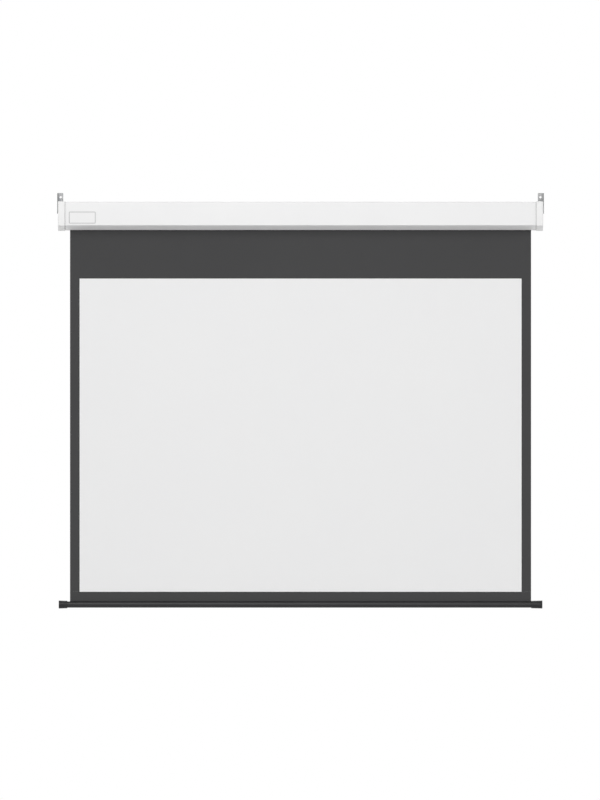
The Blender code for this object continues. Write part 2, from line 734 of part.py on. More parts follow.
def make_roller(axis):
    """The tube that takes up the fabric, with a plug at each end and one for the spring."""
    turned(
        "roller_tube",
        ring_profile(ROLLER_RADIUS, ROLLER_BORE, -ROLLER_END, ROLLER_END),
        MILL_ALUMINIUM,
        ROLLER_AXIS,
        ring=True,
        carrier=axis,
    )
    turned(
        "fabric_wraps",
        ring_profile(WRAPS_RADIUS, ROLLER_RADIUS + SHEET_GAP, -FABRIC_EDGE, FABRIC_EDGE),
        BLACK_MASK,
        ROLLER_AXIS,
        ring=True,
        carrier=axis,
    )
    flange = -ROLLER_END - SEAT_GAP
    pin_bore = IDLER_PIN_RADIUS + SHEET_GAP
    idler_profile = [
        (PLUG_RADIUS, -ROLLER_END + PLUG_LENGTH),
        (PLUG_RADIUS, flange),
        (ROLLER_RADIUS, flange),
        (ROLLER_RADIUS, flange - PLUG_FLANGE),
        (pin_bore, flange - PLUG_FLANGE),
        (pin_bore, -ROLLER_END + PLUG_LENGTH),
    ]
    turned("idler_plug", idler_profile, BLACK_PLASTIC, ROLLER_AXIS, ring=True, carrier=axis)
    pin_end = -PLATE_OUTER_FACE
    turned(
        "idler_pin",
        rod_profile(IDLER_PIN_RADIUS, pin_end, pin_end + IDLER_PIN_LENGTH),
        BRIGHT_STEEL,
        ROLLER_AXIS,
        carrier=axis,
    )
    turned(
        "spring_drive_plug",
        ring_profile(PLUG_RADIUS, ROD_RADIUS + RUN_GAP, DRIVE_PLUG_LOW, DRIVE_PLUG_HIGH),
        BLACK_PLASTIC,
        ROLLER_AXIS,
        ring=True,
        carrier=axis,
    )


def pawl_pivot(turn):
    """A pawl's pivot (y, z), carried round the roller's axis by a turn about +X."""
    y = PAWL_PIVOT_ACROSS * math.cos(turn) - PAWL_PIVOT_ABOVE * math.sin(turn)
    z = PAWL_PIVOT_ACROSS * math.sin(turn) + PAWL_PIVOT_ABOVE * math.cos(turn)
    return (-ROLLER_FROM_WALL + y, ROLLER_HEIGHT + z)


def facing_x_turned(turn):
    """The rotation of a flat piece that faces +X, its own x axis at an angle from +Y."""
    return (Matrix.Rotation(turn, 3, "X") @ Euler(FACING_X).to_matrix()).to_euler()


def make_pawl(letter, turn, roller_axis):
    """A flat pawl on its pin, swung clear of the ratchet by its whole travel."""
    pivot = pawl_pivot(turn)
    neck = math.degrees(math.asin(PAWL_HALF_WIDTH / PAWL_BOSS_RADIUS))
    boss = arc((0.0, 0.0), PAWL_BOSS_RADIUS, neck, 360.0 - neck, 2 * ARC_STEPS)
    outline = [(PAWL_REACH, -PAWL_HALF_WIDTH), (PAWL_REACH, PAWL_HALF_WIDTH), *boss]
    middle = (PAWL_LOW + PAWL_HIGH) / 2
    flat(
        f"pawl_{letter}",
        [outline, circle((0.0, 0.0), PAWL_PIN_RADIUS + RUN_GAP)],
        RATCHET_THICKNESS,
        BRIGHT_STEEL,
        (middle, *pivot),
        facing_x_turned(turn + PAWL_DIRECTION - PAWL_SWING),
        empty_at(f"pawl_{letter}_axis", (middle, *pivot)),
    )
    head = PAWL_HIGH + SEAT_GAP
    tail = ROLLER_END + SEAT_GAP
    head_radius = PAWL_PIN_RADIUS + PAWL_PIN_HEAD_RIM
    profile = [
        (0.0, head + PAWL_PIN_HEAD_HEIGHT),
        (head_radius, head + PAWL_PIN_HEAD_HEIGHT),
        (head_radius, head),
        (PAWL_PIN_RADIUS, head),
        (PAWL_PIN_RADIUS, tail),
        (0.0, tail),
    ]
    turned(
        f"pawl_pin_{letter}",
        profile,
        BRIGHT_STEEL,
        (0.0, *pivot),
        steps=SMALL_TURN_STEPS,
        carrier=roller_axis,
    )


def make_catch(roller_axis):
    """The pawls on the roller's end, and the notched ratchet collar on the fixed rod."""
    flange = ROLLER_END + SEAT_GAP
    bore = ROD_RADIUS + RUN_GAP
    profile = [
        (ROLLER_RADIUS, CARRIER_FACE),
        (ROLLER_RADIUS, flange),
        (PLUG_RADIUS, flange),
        (PLUG_RADIUS, ROLLER_END - PLUG_LENGTH),
        (bore, ROLLER_END - PLUG_LENGTH),
        (bore, CARRIER_FACE),
    ]
    carrier = turned(
        "pawl_carrier", profile, BLACK_PLASTIC, ROLLER_AXIS, ring=True, carrier=roller_axis
    )
    ratchet = turned(
        "ratchet_collar",
        ring_profile(RATCHET_RADIUS, ROD_RADIUS + SHEET_GAP, PAWL_LOW, PAWL_HIGH),
        BRIGHT_STEEL,
        ROLLER_AXIS,
        ring=True,
    )
    for letter, turn in (("a", 0.0), ("b", math.pi)):
        make_pawl(letter, turn, roller_axis)
        pin_hole = PAWL_PIN_RADIUS + RUN_GAP
        hole(carrier, "pin_hole", pawl_pivot(turn), pin_hole, flange, CARRIER_FACE, RIGHT)
        notch(ratchet, turn)
    settled(carrier)
    settled(ratchet)


def notch(ratchet, turn):
    """Cut the step that a pawl drops into, with a face square to the pawl's nose."""
    reach = PAWL_REACH + SEAT_GAP
    depth = PAWL_HALF_WIDTH + SEAT_GAP
    tool = flat(
        "notch",
        [[(0.0, -depth), (reach, -depth), (reach, depth), (0.0, depth)]],
        RATCHET_THICKNESS + 2 * CUT_MARGIN,
        BRIGHT_STEEL,
        ((PAWL_LOW + PAWL_HIGH) / 2, *pawl_pivot(turn)),
        facing_x_turned(turn + PAWL_DIRECTION),
    )
    cut(ratchet, tool)


def make_spring():
    """The rod that the spring turns against, its collar, and the spring round it."""
    rod_end = PLATE_OUTER_FACE
    rod = turned(
        "spring_rod", rod_profile(ROD_RADIUS, ROD_LOW, rod_end), BRIGHT_STEEL, ROLLER_AXIS
    )
    tang = rod_end - ROD_TANG_LENGTH
    for face in (-1, 1):
        near = ROLLER_AXIS.y + face * ROD_TANG_THICKNESS / 2
        far = ROLLER_AXIS.y + face * (ROD_RADIUS + CUT_MARGIN)
        side_cut = block(
            "tang_side",
            (tang, min(near, far), ROLLER_HEIGHT - ROD_RADIUS - CUT_MARGIN),
            (rod_end + CUT_MARGIN, max(near, far), ROLLER_HEIGHT + ROD_RADIUS + CUT_MARGIN),
            BRIGHT_STEEL,
        )
        cut(rod, side_cut)
    settled(rod)
    turned(
        "spring_collar",
        ring_profile(
            SPRING_COLLAR_RADIUS, ROD_RADIUS + SHEET_GAP, SPRING_COLLAR_LOW, SPRING_COLLAR_HIGH
        ),
        BRIGHT_STEEL,
        ROLLER_AXIS,
        ring=True,
    )
    curve = bpy.data.curves.new("counterbalance_spring", "CURVE")
    curve.dimensions = "3D"
    curve.bevel_depth = SPRING_WIRE_RADIUS
    curve.bevel_resolution = 1
    curve.use_fill_caps = True
    points = SPRING_TURNS * SPRING_POINTS_PER_TURN + 1
    first = DRIVE_PLUG_HIGH + SEAT_GAP + SPRING_WIRE_RADIUS
    length = SPRING_LENGTH - 2 * SPRING_WIRE_RADIUS
    spline = curve.splines.new("POLY")
    spline.points.add(points - 1)
    for number, point in enumerate(spline.points):
        a = 2 * math.pi * number / SPRING_POINTS_PER_TURN
        y = SPRING_MEAN_RADIUS * math.cos(a)
        z = SPRING_MEAN_RADIUS * math.sin(a)
        point.co = (first + length * number / (points - 1), y, z, 1.0)
    add("counterbalance_spring", curve, BRIGHT_STEEL, ROLLER_AXIS)


def make_fabric():
    """One sheet from the roller to the hem pocket, white with a black mask printed round."""
    middle = -FABRIC_FROM_WALL
    rod_height = BAR_AXIS + HEM_ROD_ABOVE_AXIS
    neck = Vector((middle, rod_height + POCKET_NECK))
    shoulder = math.degrees(POCKET_SHOULDER)
    pocket = arc(
        (middle, rod_height), POCKET_RADIUS, shoulder, -180.0 - shoulder, POCKET_STEPS
    )
    hem_edge = neck + (Vector(pocket[-1]) - neck).normalized() * HEM_SHORT_OF_NECK
    profile = [
        (middle, ROLLER_HEIGHT),
        (middle, PICTURE_TOP),
        (middle, PICTURE_BOTTOM),
        tuple(neck),
        *pocket,
        tuple(hem_edge),
    ]
    half_picture = PICTURE_WIDTH / 2
    folded_sheet(
        "screen_fabric",
        profile,
        (-FABRIC_EDGE, -half_picture, half_picture, FABRIC_EDGE),
        FABRIC_THICKNESS,
        [MATTE_WHITE, BLACK_MASK],
        (0.0, 0.0, 0.0),
        coat_of=lambda across, along: 0 if (across, along) == (1, 1) else 1,
        offset=0.0,
    )


def make_bar(slide):
    """The slotted tube that weighs the fabric down, the rod in its hem, and two end caps."""
    centre = (0.0, -FABRIC_FROM_WALL, BAR_AXIS)
    half_slot = math.degrees(math.asin(BAR_SLOT_WIDTH / 2 / BAR_RADIUS))
    profile = arc((0.0, 0.0), BAR_RADIUS, 90.0 + half_slot, 450.0 - half_slot, TURN_STEPS)
    folded_sheet(
        "weight_bar",
        profile,
        (-BAR_END, BAR_END),
        BAR_WALL,
        [BLACK_METAL],
        centre,
        carrier=slide,
    )
    rod_end = FABRIC_EDGE - HEM_ROD_SHORT_OF_FABRIC
    turned(
        "hem_rod",
        rod_profile(HEM_ROD_RADIUS, -rod_end, rod_end),
        BRIGHT_STEEL,
        (0.0, -FABRIC_FROM_WALL, BAR_AXIS + HEM_ROD_ABOVE_AXIS),
        steps=SMALL_TURN_STEPS,
        carrier=slide,
    )
    bore = BAR_RADIUS + SHEET_GAP
    seat = BAR_END + SEAT_GAP
    end = seat + BAR_CAP_END_WALL
    for side, word, mouth in (
        (LEFT, "left", BAR_END - BAR_CAP_LEFT_SLEEVE),
        (RIGHT, "right", FABRIC_EDGE + SEAT_GAP),
    ):
        profile = [
            (0.0, end),
            (BAR_CAP_OUTER_RADIUS - BAR_CAP_CHAMFER, end),
            (BAR_CAP_OUTER_RADIUS, end - BAR_CAP_CHAMFER),
            (BAR_CAP_INNER_RADIUS, mouth),
            (bore, mouth),
            (bore, seat),
            (0.0, seat),
        ]
        if side == LEFT:
            profile = [(radius, -x) for radius, x in profile]
        turned(f"bar_cap_{word}", profile, BLACK_PLASTIC, centre, carrier=slide)


def main():
    """Make the fixed pieces, then each moving group under an empty on its joint's axis."""
    make_case()
    for side, word in ((LEFT, "left"), (RIGHT, "right")):
        make_cap(side, word)
        make_bracket(side, word)
    make_supports()
    make_name_plate()
    make_spring()
    roller_axis = empty_at("roller_axis", ROLLER_AXIS)
    make_roller(roller_axis)
    make_catch(roller_axis)
    make_fabric()
    make_bar(empty_at("bar_slide", (0.0, -FABRIC_FROM_WALL, BAR_AXIS)))


clear_scene()
PART = new_collection("pull_down_projector_screen")
CUTTERS = new_collection("cutters")
WHITE_COAT = finish("white_coat", (0.87, 0.87, 0.87), 0.42)
WHITE_PLASTIC = finish("white_plastic", (0.86, 0.86, 0.85), 0.45)
ZINC_STEEL = finish("zinc_steel", (0.55, 0.56, 0.58), 0.38, 1.0)
BRIGHT_STEEL = finish("bright_steel", (0.60, 0.60, 0.61), 0.32, 1.0)
MILL_ALUMINIUM = finish("mill_aluminium", (0.77, 0.78, 0.79), 0.35, 1.0)
NATURAL_NYLON = finish("natural_nylon", (0.82, 0.80, 0.73), 0.50)
BLACK_PLASTIC = finish("black_plastic", (0.035, 0.035, 0.036), 0.45)
BLACK_METAL = finish("black_metal", (0.04, 0.04, 0.042), 0.38, 0.6)
MATTE_WHITE = finish("matte_white", (0.82, 0.82, 0.82), 0.90)
BLACK_MASK = finish("black_mask", (0.045, 0.045, 0.046), 0.85)
main()
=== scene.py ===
"""Studio scene of a pull down projector screen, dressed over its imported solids.

Lengths are metres in the part's own frame: +X to the right of a viewer in front of the screen,
-Y towards the viewer and +Z up. The wall that the screen would hang on is the plane Y = 0.
"""

import json
import logging
import math
from collections.abc import Callable, Iterator, Sequence
from contextlib import contextmanager
from dataclasses import dataclass
from enum import Enum

import bmesh
import bpy
from mathutils import Matrix, Vector


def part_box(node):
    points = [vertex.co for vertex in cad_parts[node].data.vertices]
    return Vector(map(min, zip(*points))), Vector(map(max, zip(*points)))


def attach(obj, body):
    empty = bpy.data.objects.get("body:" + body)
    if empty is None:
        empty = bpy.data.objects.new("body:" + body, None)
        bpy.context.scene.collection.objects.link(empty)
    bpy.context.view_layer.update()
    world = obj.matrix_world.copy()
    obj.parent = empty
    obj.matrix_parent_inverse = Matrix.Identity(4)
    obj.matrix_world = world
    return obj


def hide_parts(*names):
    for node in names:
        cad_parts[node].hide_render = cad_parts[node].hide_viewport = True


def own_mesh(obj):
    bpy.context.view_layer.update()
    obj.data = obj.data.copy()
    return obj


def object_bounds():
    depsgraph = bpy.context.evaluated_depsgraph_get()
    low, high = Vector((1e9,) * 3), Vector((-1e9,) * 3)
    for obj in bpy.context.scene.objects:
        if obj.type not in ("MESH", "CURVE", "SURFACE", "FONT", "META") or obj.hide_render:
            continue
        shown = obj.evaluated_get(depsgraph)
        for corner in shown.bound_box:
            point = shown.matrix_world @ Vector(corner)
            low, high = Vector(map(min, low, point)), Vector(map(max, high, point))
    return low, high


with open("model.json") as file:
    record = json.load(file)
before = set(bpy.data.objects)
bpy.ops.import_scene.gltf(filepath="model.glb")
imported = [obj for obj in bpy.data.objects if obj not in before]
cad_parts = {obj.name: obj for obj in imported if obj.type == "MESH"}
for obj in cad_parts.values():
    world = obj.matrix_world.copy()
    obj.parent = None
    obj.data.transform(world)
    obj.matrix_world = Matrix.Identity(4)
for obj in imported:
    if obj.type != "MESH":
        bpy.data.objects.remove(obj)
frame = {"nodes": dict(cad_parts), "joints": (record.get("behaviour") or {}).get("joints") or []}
CAD_LOW, CAD_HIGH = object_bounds()

LOG = logging.getLogger("projector_screen")
CLOTH_MAP = "cloth"

Point = tuple[float, float]
Colour = tuple[float, float, float]
Node = bpy.types.Node
Outputs = bpy.types.bpy_prop_collection
Piece = bpy.types.Object
Shape = bmesh.types.BMesh
Socket = bpy.types.NodeSocket

SEAT_GAP = 0.0003  # The clearance between a piece and its seat.
SHARP_ANGLE = math.radians(35.0)  # An edge that bends more than this is a sharp one.
WELD_DISTANCE = 0.000002  # Points that are closer than this are one.
CUT_MARGIN = 0.002  # How far a cutter reaches past what it cuts.
HOLE_STEPS = 32  # How many chords a round outline has, unless it says otherwise.
SOFT_STEPS = 2  # How many facets a softened edge has.
FACING = 0.5  # The least share of a face's normal along the way that it faces.
PLAIN_WHITE = (1.0, 1.0, 1.0, 1.0)


class Side(Enum):
    """The two ends of the screen, as a viewer in front of it sees them."""

    LEFT = -1
    RIGHT = 1

    @property
    def word(self) -> str:
        """The word for this side in a node's name."""
        return self.name.lower()

    def outwards(self, box: "Extent") -> list[float]:
        """The two ends of a box, as distances outwards from the screen's middle."""
        return sorted(self.value * x for x in box.ends)


class Body(Enum):
    """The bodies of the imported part."""

    HOUSING = "housing"
    ROLLER = "roller"
    BAR = "bar"
    PAWL_A = "pawl_a"
    PAWL_B = "pawl_b"


class Head(Enum):
    """The two heads of the screen's screws, by the first word of their nodes' names."""

    PAN = "cap"
    FLAT = "bracket"

    def nodes(self, side: Side) -> list[str]:
        """The nodes of the screws with this head at one end."""
        return [f"{self.value}_screw_{side.word}_{level}" for level in ("upper", "lower")]


@dataclass(frozen=True)
class Extent:
    """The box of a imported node."""

    low: Vector
    high: Vector

    @classmethod
    def of(cls, node: str) -> "Extent":
        """The box of a node, by its name."""
        return cls(*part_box(node))

    @property
    def size(self) -> Vector:
        """The box's three sides."""
        return self.high - self.low

    @property
    def radius(self) -> float:
        """Half the box's height, which is the radius of what is round about X."""
        return self.size.z / 2.0

    @property
    def centre(self) -> Point:
        """The place (y, z) of the box's middle."""
        return tuple(((self.low + self.high) / 2.0).yz)

    @property
    def ends(self) -> Point:
        """Where the box begins and ends along X."""
        return (self.low.x, self.high.x)

    @property
    def through(self) -> Point:
        """The ends of a cut along X right through the box."""
        return (self.low.x - CUT_MARGIN, self.high.x + CUT_MARGIN)


class Effect(Enum):
    """Surface effects that more than one finish uses."""

    GRAIN = "surface_grain"
    STREAKS = "drawn_streaks"
    WEAVE = "plain_weave"
    WEAR = "edge_wear"
    CLOUDS = "soft_clouds"
    # Painted shade in corners and seams, from ambient occlusion.
    DUST = "dust_in_corners"


class Graph:
    """A node tree, with short calls for the nodes that the finishes place."""

    def __init__(self, tree: bpy.types.NodeTree) -> None:
        """Work on a tree."""
        self.tree = tree

    def feed(self, target: Socket, value: object) -> None:
        """Link a socket to another, or set its value.

        Args:
            target: The input socket.
            value: An output socket, or a plain value.
        """
        if isinstance(value, Socket):
            self.tree.links.new(value, target)
        else:
            target.default_value = value

    def node(
        self, kind: str, feeds: dict[str | int, object] | None = None, **settings: object
    ) -> Node:
        """Add a node.

        Args:
            kind: The node's Blender type.
            feeds: What its inputs take, by the input's name or number.
            **settings: Properties to set on it.

        Returns:
            The new node.
        """
        made = self.tree.nodes.new(kind)
        for name, value in settings.items():
            setattr(made, name, value)
        for key, value in (feeds or {}).items():
            self.feed(made.inputs[key], value)
        return made

    def maths(self, operation: str, *terms: object) -> Socket:
        """The result of a Math node on its terms, sockets or numbers."""
        return self.node("ShaderNodeMath", dict(enumerate(terms)), operation=operation).outputs[0]

    def ranged(self, value: object, which: str, low: float, high: float) -> Socket:
        """A value through a Map Range node whose From or To range is set."""
        feeds = {"Value": value, f"{which} Min": low, f"{which} Max": high}
        return self.node("ShaderNodeMapRange", feeds).outputs["Result"]

    def window(self, value: object, low: float, high: float) -> Socket:
        """The part of a value between two limits, stretched to a full mask."""
        return self.ranged(value, "From", low, high)

    def mix(self, mask: object, first: object, second: object) -> Socket:
        """Mix two colours.

        Args:
            mask: 0 for the first colour and 1 for the second.
            first: A colour or a socket.
            second: A colour or a socket.

        Returns:
            The mixed colour.
        """
        made = self.node("ShaderNodeMix", {"Factor": mask}, data_type="RGBA")
        for name, colour in (("A", first), ("B", second)):
            target = next(s for s in made.inputs if s.name == name and s.type == "RGBA")
            self.feed(target, (*colour, 1.0) if isinstance(colour, tuple) else colour)
        return next(s for s in made.outputs if s.type == "RGBA")

    def either(self, mask: object, first: Node, second: Node) -> Node:
        """Mix two shaders by a mask."""
        feeds = {0: mask, 1: first.outputs[0], 2: second.outputs[0]}
        return self.node("ShaderNodeMixShader", feeds)

    def cells(self, place: object, size: object) -> Socket:
        """Coordinates in metres, counted in cells of a size."""
        feeds = {"Vector": place, "Scale": self.maths("DIVIDE", 1.0, size)}
        return self.node("ShaderNodeVectorMath", feeds, operation="SCALE").outputs["Vector"]

    def noise(self, place: object, detail: float, roughness: float) -> Socket:
        """A noise with cells one unit wide, mostly from 0.25 to 0.75."""
        feeds = {"Vector": place, "Scale": 1.0, "Detail": detail, "Roughness": roughness}
        return self.node("ShaderNodeTexNoise", feeds).outputs["Fac"]


class EffectLibrary:
    """The shader node groups, each built once and placed wherever a finish wants it.

    Each pair of limits is what becomes 0 and 1 in a mask.
    """

    NOISE = (0.3, 0.7)
    CROSSING = (-0.5, 0.5)
    THREAD = (0.1, 0.8)
    BENT_AWAY = (0.02, 0.25)
    PATCHES = (0.4, 0.7)
    # The ambient occlusion values that become 0 and 1 in the painted corner shade.
    SHUT_IN = (1.0, 0.65)

    def __init__(self) -> None:
        """Start with no group built, and with each group's maker, inputs and outputs."""
        both = ("Mask", "Height")
        self._trees: dict[Effect, bpy.types.NodeTree] = {}
        self._plans: dict[Effect, tuple[Callable, Sequence[str], Sequence[str]]] = {
            Effect.GRAIN: (self._grain, ("Place", "Cell Size"), both),
            Effect.STREAKS: (self._streaks, ("Place", "Line Width", "Line Length"), both),
            Effect.WEAVE: (self._weave, ("Place", "Thread Pitch"), both),
            Effect.WEAR: (self._wear, ("Place", "Edge Width", "Patch Size"), ("Mask",)),
            Effect.CLOUDS: (self._clouds, ("Place", "Cell Size"), ("Mask",)),
            Effect.DUST: (self._dust, ("Reach",), ("Mask",)),
        }

    def place(self, graph: Graph, effect: Effect, **values: object) -> Outputs:
        """Put a group in a material.

        Args:
            graph: The material's graph.
            effect: Which group.
            **values: Its inputs, by socket name with _ for a space.

        Returns:
            The group's outputs.
        """
        if effect not in self._trees:
            self._trees[effect] = self._built(effect)
        feeds = {name.replace("_", " "): value for name, value in values.items()}
        return graph.node("ShaderNodeGroup", feeds, node_tree=self._trees[effect]).outputs

    def _built(self, effect: Effect) -> bpy.types.NodeTree:
        """Build a group.

        Args:
            effect: Which group.

        Returns:
            The group.
        """
        maker, inputs, outputs = self._plans[effect]
        tree = bpy.data.node_groups.new(effect.value, "ShaderNodeTree")
        for name in inputs:
            kind = "NodeSocketVector" if name == "Place" else "NodeSocketFloat"
            tree.interface.new_socket(name, in_out="INPUT", socket_type=kind)
        for name in outputs:
            tree.interface.new_socket(name, in_out="OUTPUT", socket_type="NodeSocketFloat")
        graph = Graph(tree)
        results = maker(graph, graph.node("NodeGroupInput").outputs)
        graph.node("NodeGroupOutput", dict(zip(outputs, results)))
        return tree

    def _grain(self, graph: Graph, given: Outputs) -> tuple[Socket, Socket]:
        """Fine even bumps, as of a sprayed or moulded skin."""
        fine = graph.noise(graph.cells(given["Place"], given["Cell Size"]), detail=2.0, roughness=0.5)
        return graph.window(fine, *self.NOISE), fine

    def _clouds(self, graph: Graph, given: Outputs) -> tuple[Socket]:
        """Broad soft patches."""
        broad = graph.noise(graph.cells(given["Place"], given["Cell Size"]), detail=4.0, roughness=0.55)
        return (graph.window(broad, *self.NOISE),)

    def _streaks(self, graph: Graph, given: Outputs) -> tuple[Socket, Socket]:
        """Fine lines along X, as a die or a brush leaves on drawn metal.

        Args:
            graph: The group's graph.
            given: The group's inputs.

        Returns:
            The mask and the height.
        """
        apart = graph.node("ShaderNodeSeparateXYZ", {0: given["Place"]}).outputs
        units = {"X": "Line Length", "Y": "Line Width", "Z": "Line Width"}
        shares = {key: graph.maths("DIVIDE", apart[key], given[unit]) for key, unit in units.items()}
        place = graph.node("ShaderNodeCombineXYZ", shares).outputs[0]
        lines = graph.noise(place, detail=2.0, roughness=0.6)
        return graph.window(lines, *self.NOISE), lines

    def _weave(self, graph: Graph, given: Outputs) -> tuple[Socket, Socket]:
        """A plain weave: each thread passes over one and under the next.

        Args:
            graph: The group's graph.
            given: The group's inputs.

        Returns:
            The mask and the height.
        """
        cells = graph.cells(given["Place"], given["Thread Pitch"])
        apart = graph.node("ShaderNodeSeparateXYZ", {0: cells}).outputs
        waves = [graph.maths("SINE", graph.maths("MULTIPLY", apart[key], math.pi)) for key in "XY"]
        over = graph.window(graph.maths("MULTIPLY", *waves), *self.CROSSING)
        under = graph.maths("SUBTRACT", 1.0, over)
        warp, weft = (
            graph.maths("MULTIPLY", graph.maths("ABSOLUTE", wave), shown)
            for wave, shown in zip(waves, (over, under))
        )
        height = graph.maths("MAXIMUM", warp, weft)
        return graph.window(height, *self.THREAD), height

    def _wear(self, graph: Graph, given: Outputs) -> tuple[Socket]:
        """Outer edges that handling has rubbed, broken up along their length.

        Args:
            graph: The group's graph.
            given: The group's inputs.

        Returns:
            The mask.
        """
        edge = graph.node("ShaderNodeBevel", {"Radius": given["Edge Width"]}, samples=4)
        normals = {0: edge.outputs[0], 1: graph.node("ShaderNodeNewGeometry").outputs["Normal"]}
        facing = graph.node("ShaderNodeVectorMath", normals, operation="DOT_PRODUCT")
        bent = graph.maths("SUBTRACT", 1.0, facing.outputs["Value"])
        cells = graph.cells(given["Place"], given["Patch Size"])
        patches = graph.window(graph.noise(cells, detail=3.0, roughness=0.6), *self.PATCHES)
        return (graph.maths("MULTIPLY", graph.window(bent, *self.BENT_AWAY), patches),)

    def _dust(self, graph: Graph, given: Outputs) -> tuple[Socket]:
        """Painted shade: inner corners and seams darkened by their ambient occlusion."""
        air = graph.node("ShaderNodeAmbientOcclusion", {"Distance": given["Reach"]}, samples=8)
        return (graph.window(air.outputs["AO"], *self.SHUT_IN),)


@dataclass(frozen=True)
class Ground:
    """What a finish's own nodes start from."""

    graph: Graph  # The material's graph.
    effects: EffectLibrary  # The shared groups.
    place: Socket  # The coordinates, in metres.
    clouds: Socket  # The mask of the soft patches.

    def lay(self, effect: Effect, **values: object) -> Outputs:
        """Place a group at the coordinates."""
        return self.effects.place(self.graph, effect, Place=self.place, **values)


@dataclass(frozen=True)
class Finish:
    """What every finish has."""

    name: str  # The material's name.
    colour: Colour  # Its main colour.
    drift: Colour  # The colour that it drifts to in soft patches.
    smooth: float  # Its roughness where it is smoothest.
    rough: float  # Its roughness where it is roughest.
    relief: float  # The height of its bumps.
    patch: float = 0.18  # The size of its soft patches.
    metallic: float = 0.0  # The shader's metallic value.
    level: float = 0.5  # The shader's specular level.
    sheen: float = 0.0  # The shader's sheen weight.

    def place(self, graph: Graph) -> Socket:
        """Coordinates that stay with the piece, in metres."""
        return graph.node("ShaderNodeTexCoord").outputs["Object"]

    def skin(self, ground: Ground) -> tuple[Socket, Socket, Socket]:
        """The nodes of the finish's own: its colour, its roughness mask and its height."""
        raise NotImplementedError

    def dress(self, graph: Graph, shader: Node, effects: EffectLibrary) -> None:
        """Build the material's nodes.

        Args:
            graph: The material's graph.
            shader: Its Principled BSDF.
            effects: The shared groups.
        """
        place = self.place(graph)
        clouds = effects.place(graph, Effect.CLOUDS, Place=place, Cell_Size=self.patch)["Mask"]
        colour, mask, height = self.skin(Ground(graph, effects, place, clouds))
        bump = graph.node("ShaderNodeBump", {"Distance": self.relief, "Height": height})
        graph.feed(shader.inputs["Base Color"], colour)
        graph.feed(shader.inputs["Roughness"], graph.ranged(mask, "To", self.smooth, self.rough))
        graph.feed(shader.inputs["Normal"], bump.outputs["Normal"])
        shader.inputs["Metallic"].default_value = self.metallic
        shader.inputs["Specular IOR Level"].default_value = self.level
        shader.inputs["Sheen Weight"].default_value = self.sheen


@dataclass(frozen=True)
class GrainedCoat(Finish):
    """Paint, moulded plastic or plating: soft patches, worn edges, a fine even grain and, where asked,
    painted shade in its corners and seams.
    """

    grain: float = 0.0005  # The size of its grain.
    worn: Colour = (0.72, 0.72, 0.71)  # The colour of its worn edges.
    edge: float = 0.001  # How far the wear reaches in from an edge.
    wear_patch: float = 0.03  # The size of the patches that the wear is broken into.
    # The colour of the painted shade in its corners and seams, or None where none is painted.
    settled: Colour | None = None
    reach: float = 0.003  # How far the painted shade reaches out of a corner.
    cloudy: bool = False  # Whether its roughness follows the soft patches instead of the grain.

    def skin(self, ground: Ground) -> tuple[Socket, Socket, Socket]:
        """Patchy colour, worn edges, painted shade in the corners, and the grain.

        Args:
            ground: What the nodes start from.

        Returns:
            The colour, the roughness mask and the height.
        """
        grain = ground.lay(Effect.GRAIN, Cell_Size=self.grain)
        wear = ground.lay(Effect.WEAR, Edge_Width=self.edge, Patch_Size=self.wear_patch)["Mask"]
        body = ground.graph.mix(ground.clouds, self.colour, self.drift)
        colour = ground.graph.mix(wear, body, self.worn)
        # Painted shade: the colour darkens where ambient occlusion finds a corner or seam.
        if self.settled:
            painted_shade = ground.effects.place(ground.graph, Effect.DUST, Reach=self.reach)["Mask"]
            colour = ground.graph.mix(painted_shade, colour, self.settled)
        return colour, ground.clouds if self.cloudy else grain["Mask"], grain["Height"]


@dataclass(frozen=True)
class DrawnMetal(Finish):
    """Bare or painted metal with the fine lines of its drawing along X."""

    line: float = 0.0004  # The width of a line.
    run: float = 0.06  # The length of a line.
    metallic: float = 1.0

    def skin(self, ground: Ground) -> tuple[Socket, Socket, Socket]:
        """Lines in the colour, the roughness and the relief, over soft patches.

        Args:
            ground: What the nodes start from.

        Returns:
            The colour, the roughness mask and the height.
        """
        lines = ground.lay(Effect.STREAKS, Line_Width=self.line, Line_Length=self.run)
        both = ground.graph.maths("MULTIPLY", lines["Mask"], ground.clouds)
        return ground.graph.mix(both, self.colour, self.drift), lines["Mask"], lines["Height"]


@dataclass(frozen=True)
class CoatedCloth(Finish):
    """Woven glass fibre cloth under a matte coat, which softens the weave."""

    pitch: float = 0.0006  # The distance between threads.
    slub: float = 3.0  # How many threads wide its uneven places are.
    slub_share: float = 0.3  # How high they stand, against the weave.
    sheen: float = 0.05
    level: float = 0.25
    between: float = 0.06  # How much darker the coat is between the threads, from 0 to 1.

    def place(self, graph: Graph) -> Socket:
        """The cloth's own coordinates, in metres along its width and length."""
        return graph.node("ShaderNodeUVMap", uv_map=CLOTH_MAP).outputs["UV"]

    def skin(self, ground: Ground) -> tuple[Socket, Socket, Socket]:
        """The weave in the colour and the relief, with uneven threads in the roughness.

        Args:
            ground: What the nodes start from.

        Returns:
            The colour, the roughness mask and the height.
        """
        weave = ground.lay(Effect.WEAVE, Thread_Pitch=self.pitch)
        slub = ground.lay(Effect.GRAIN, Cell_Size=self.slub * self.pitch)["Mask"]
        body = ground.graph.mix(ground.clouds, self.colour, self.drift)
        dark = tuple(channel * (1.0 - self.between) for channel in self.colour)
        colour = ground.graph.mix(weave["Mask"], dark, body)
        height = ground.graph.maths("MULTIPLY_ADD", slub, self.slub_share, weave["Height"])
        return colour, slub, height
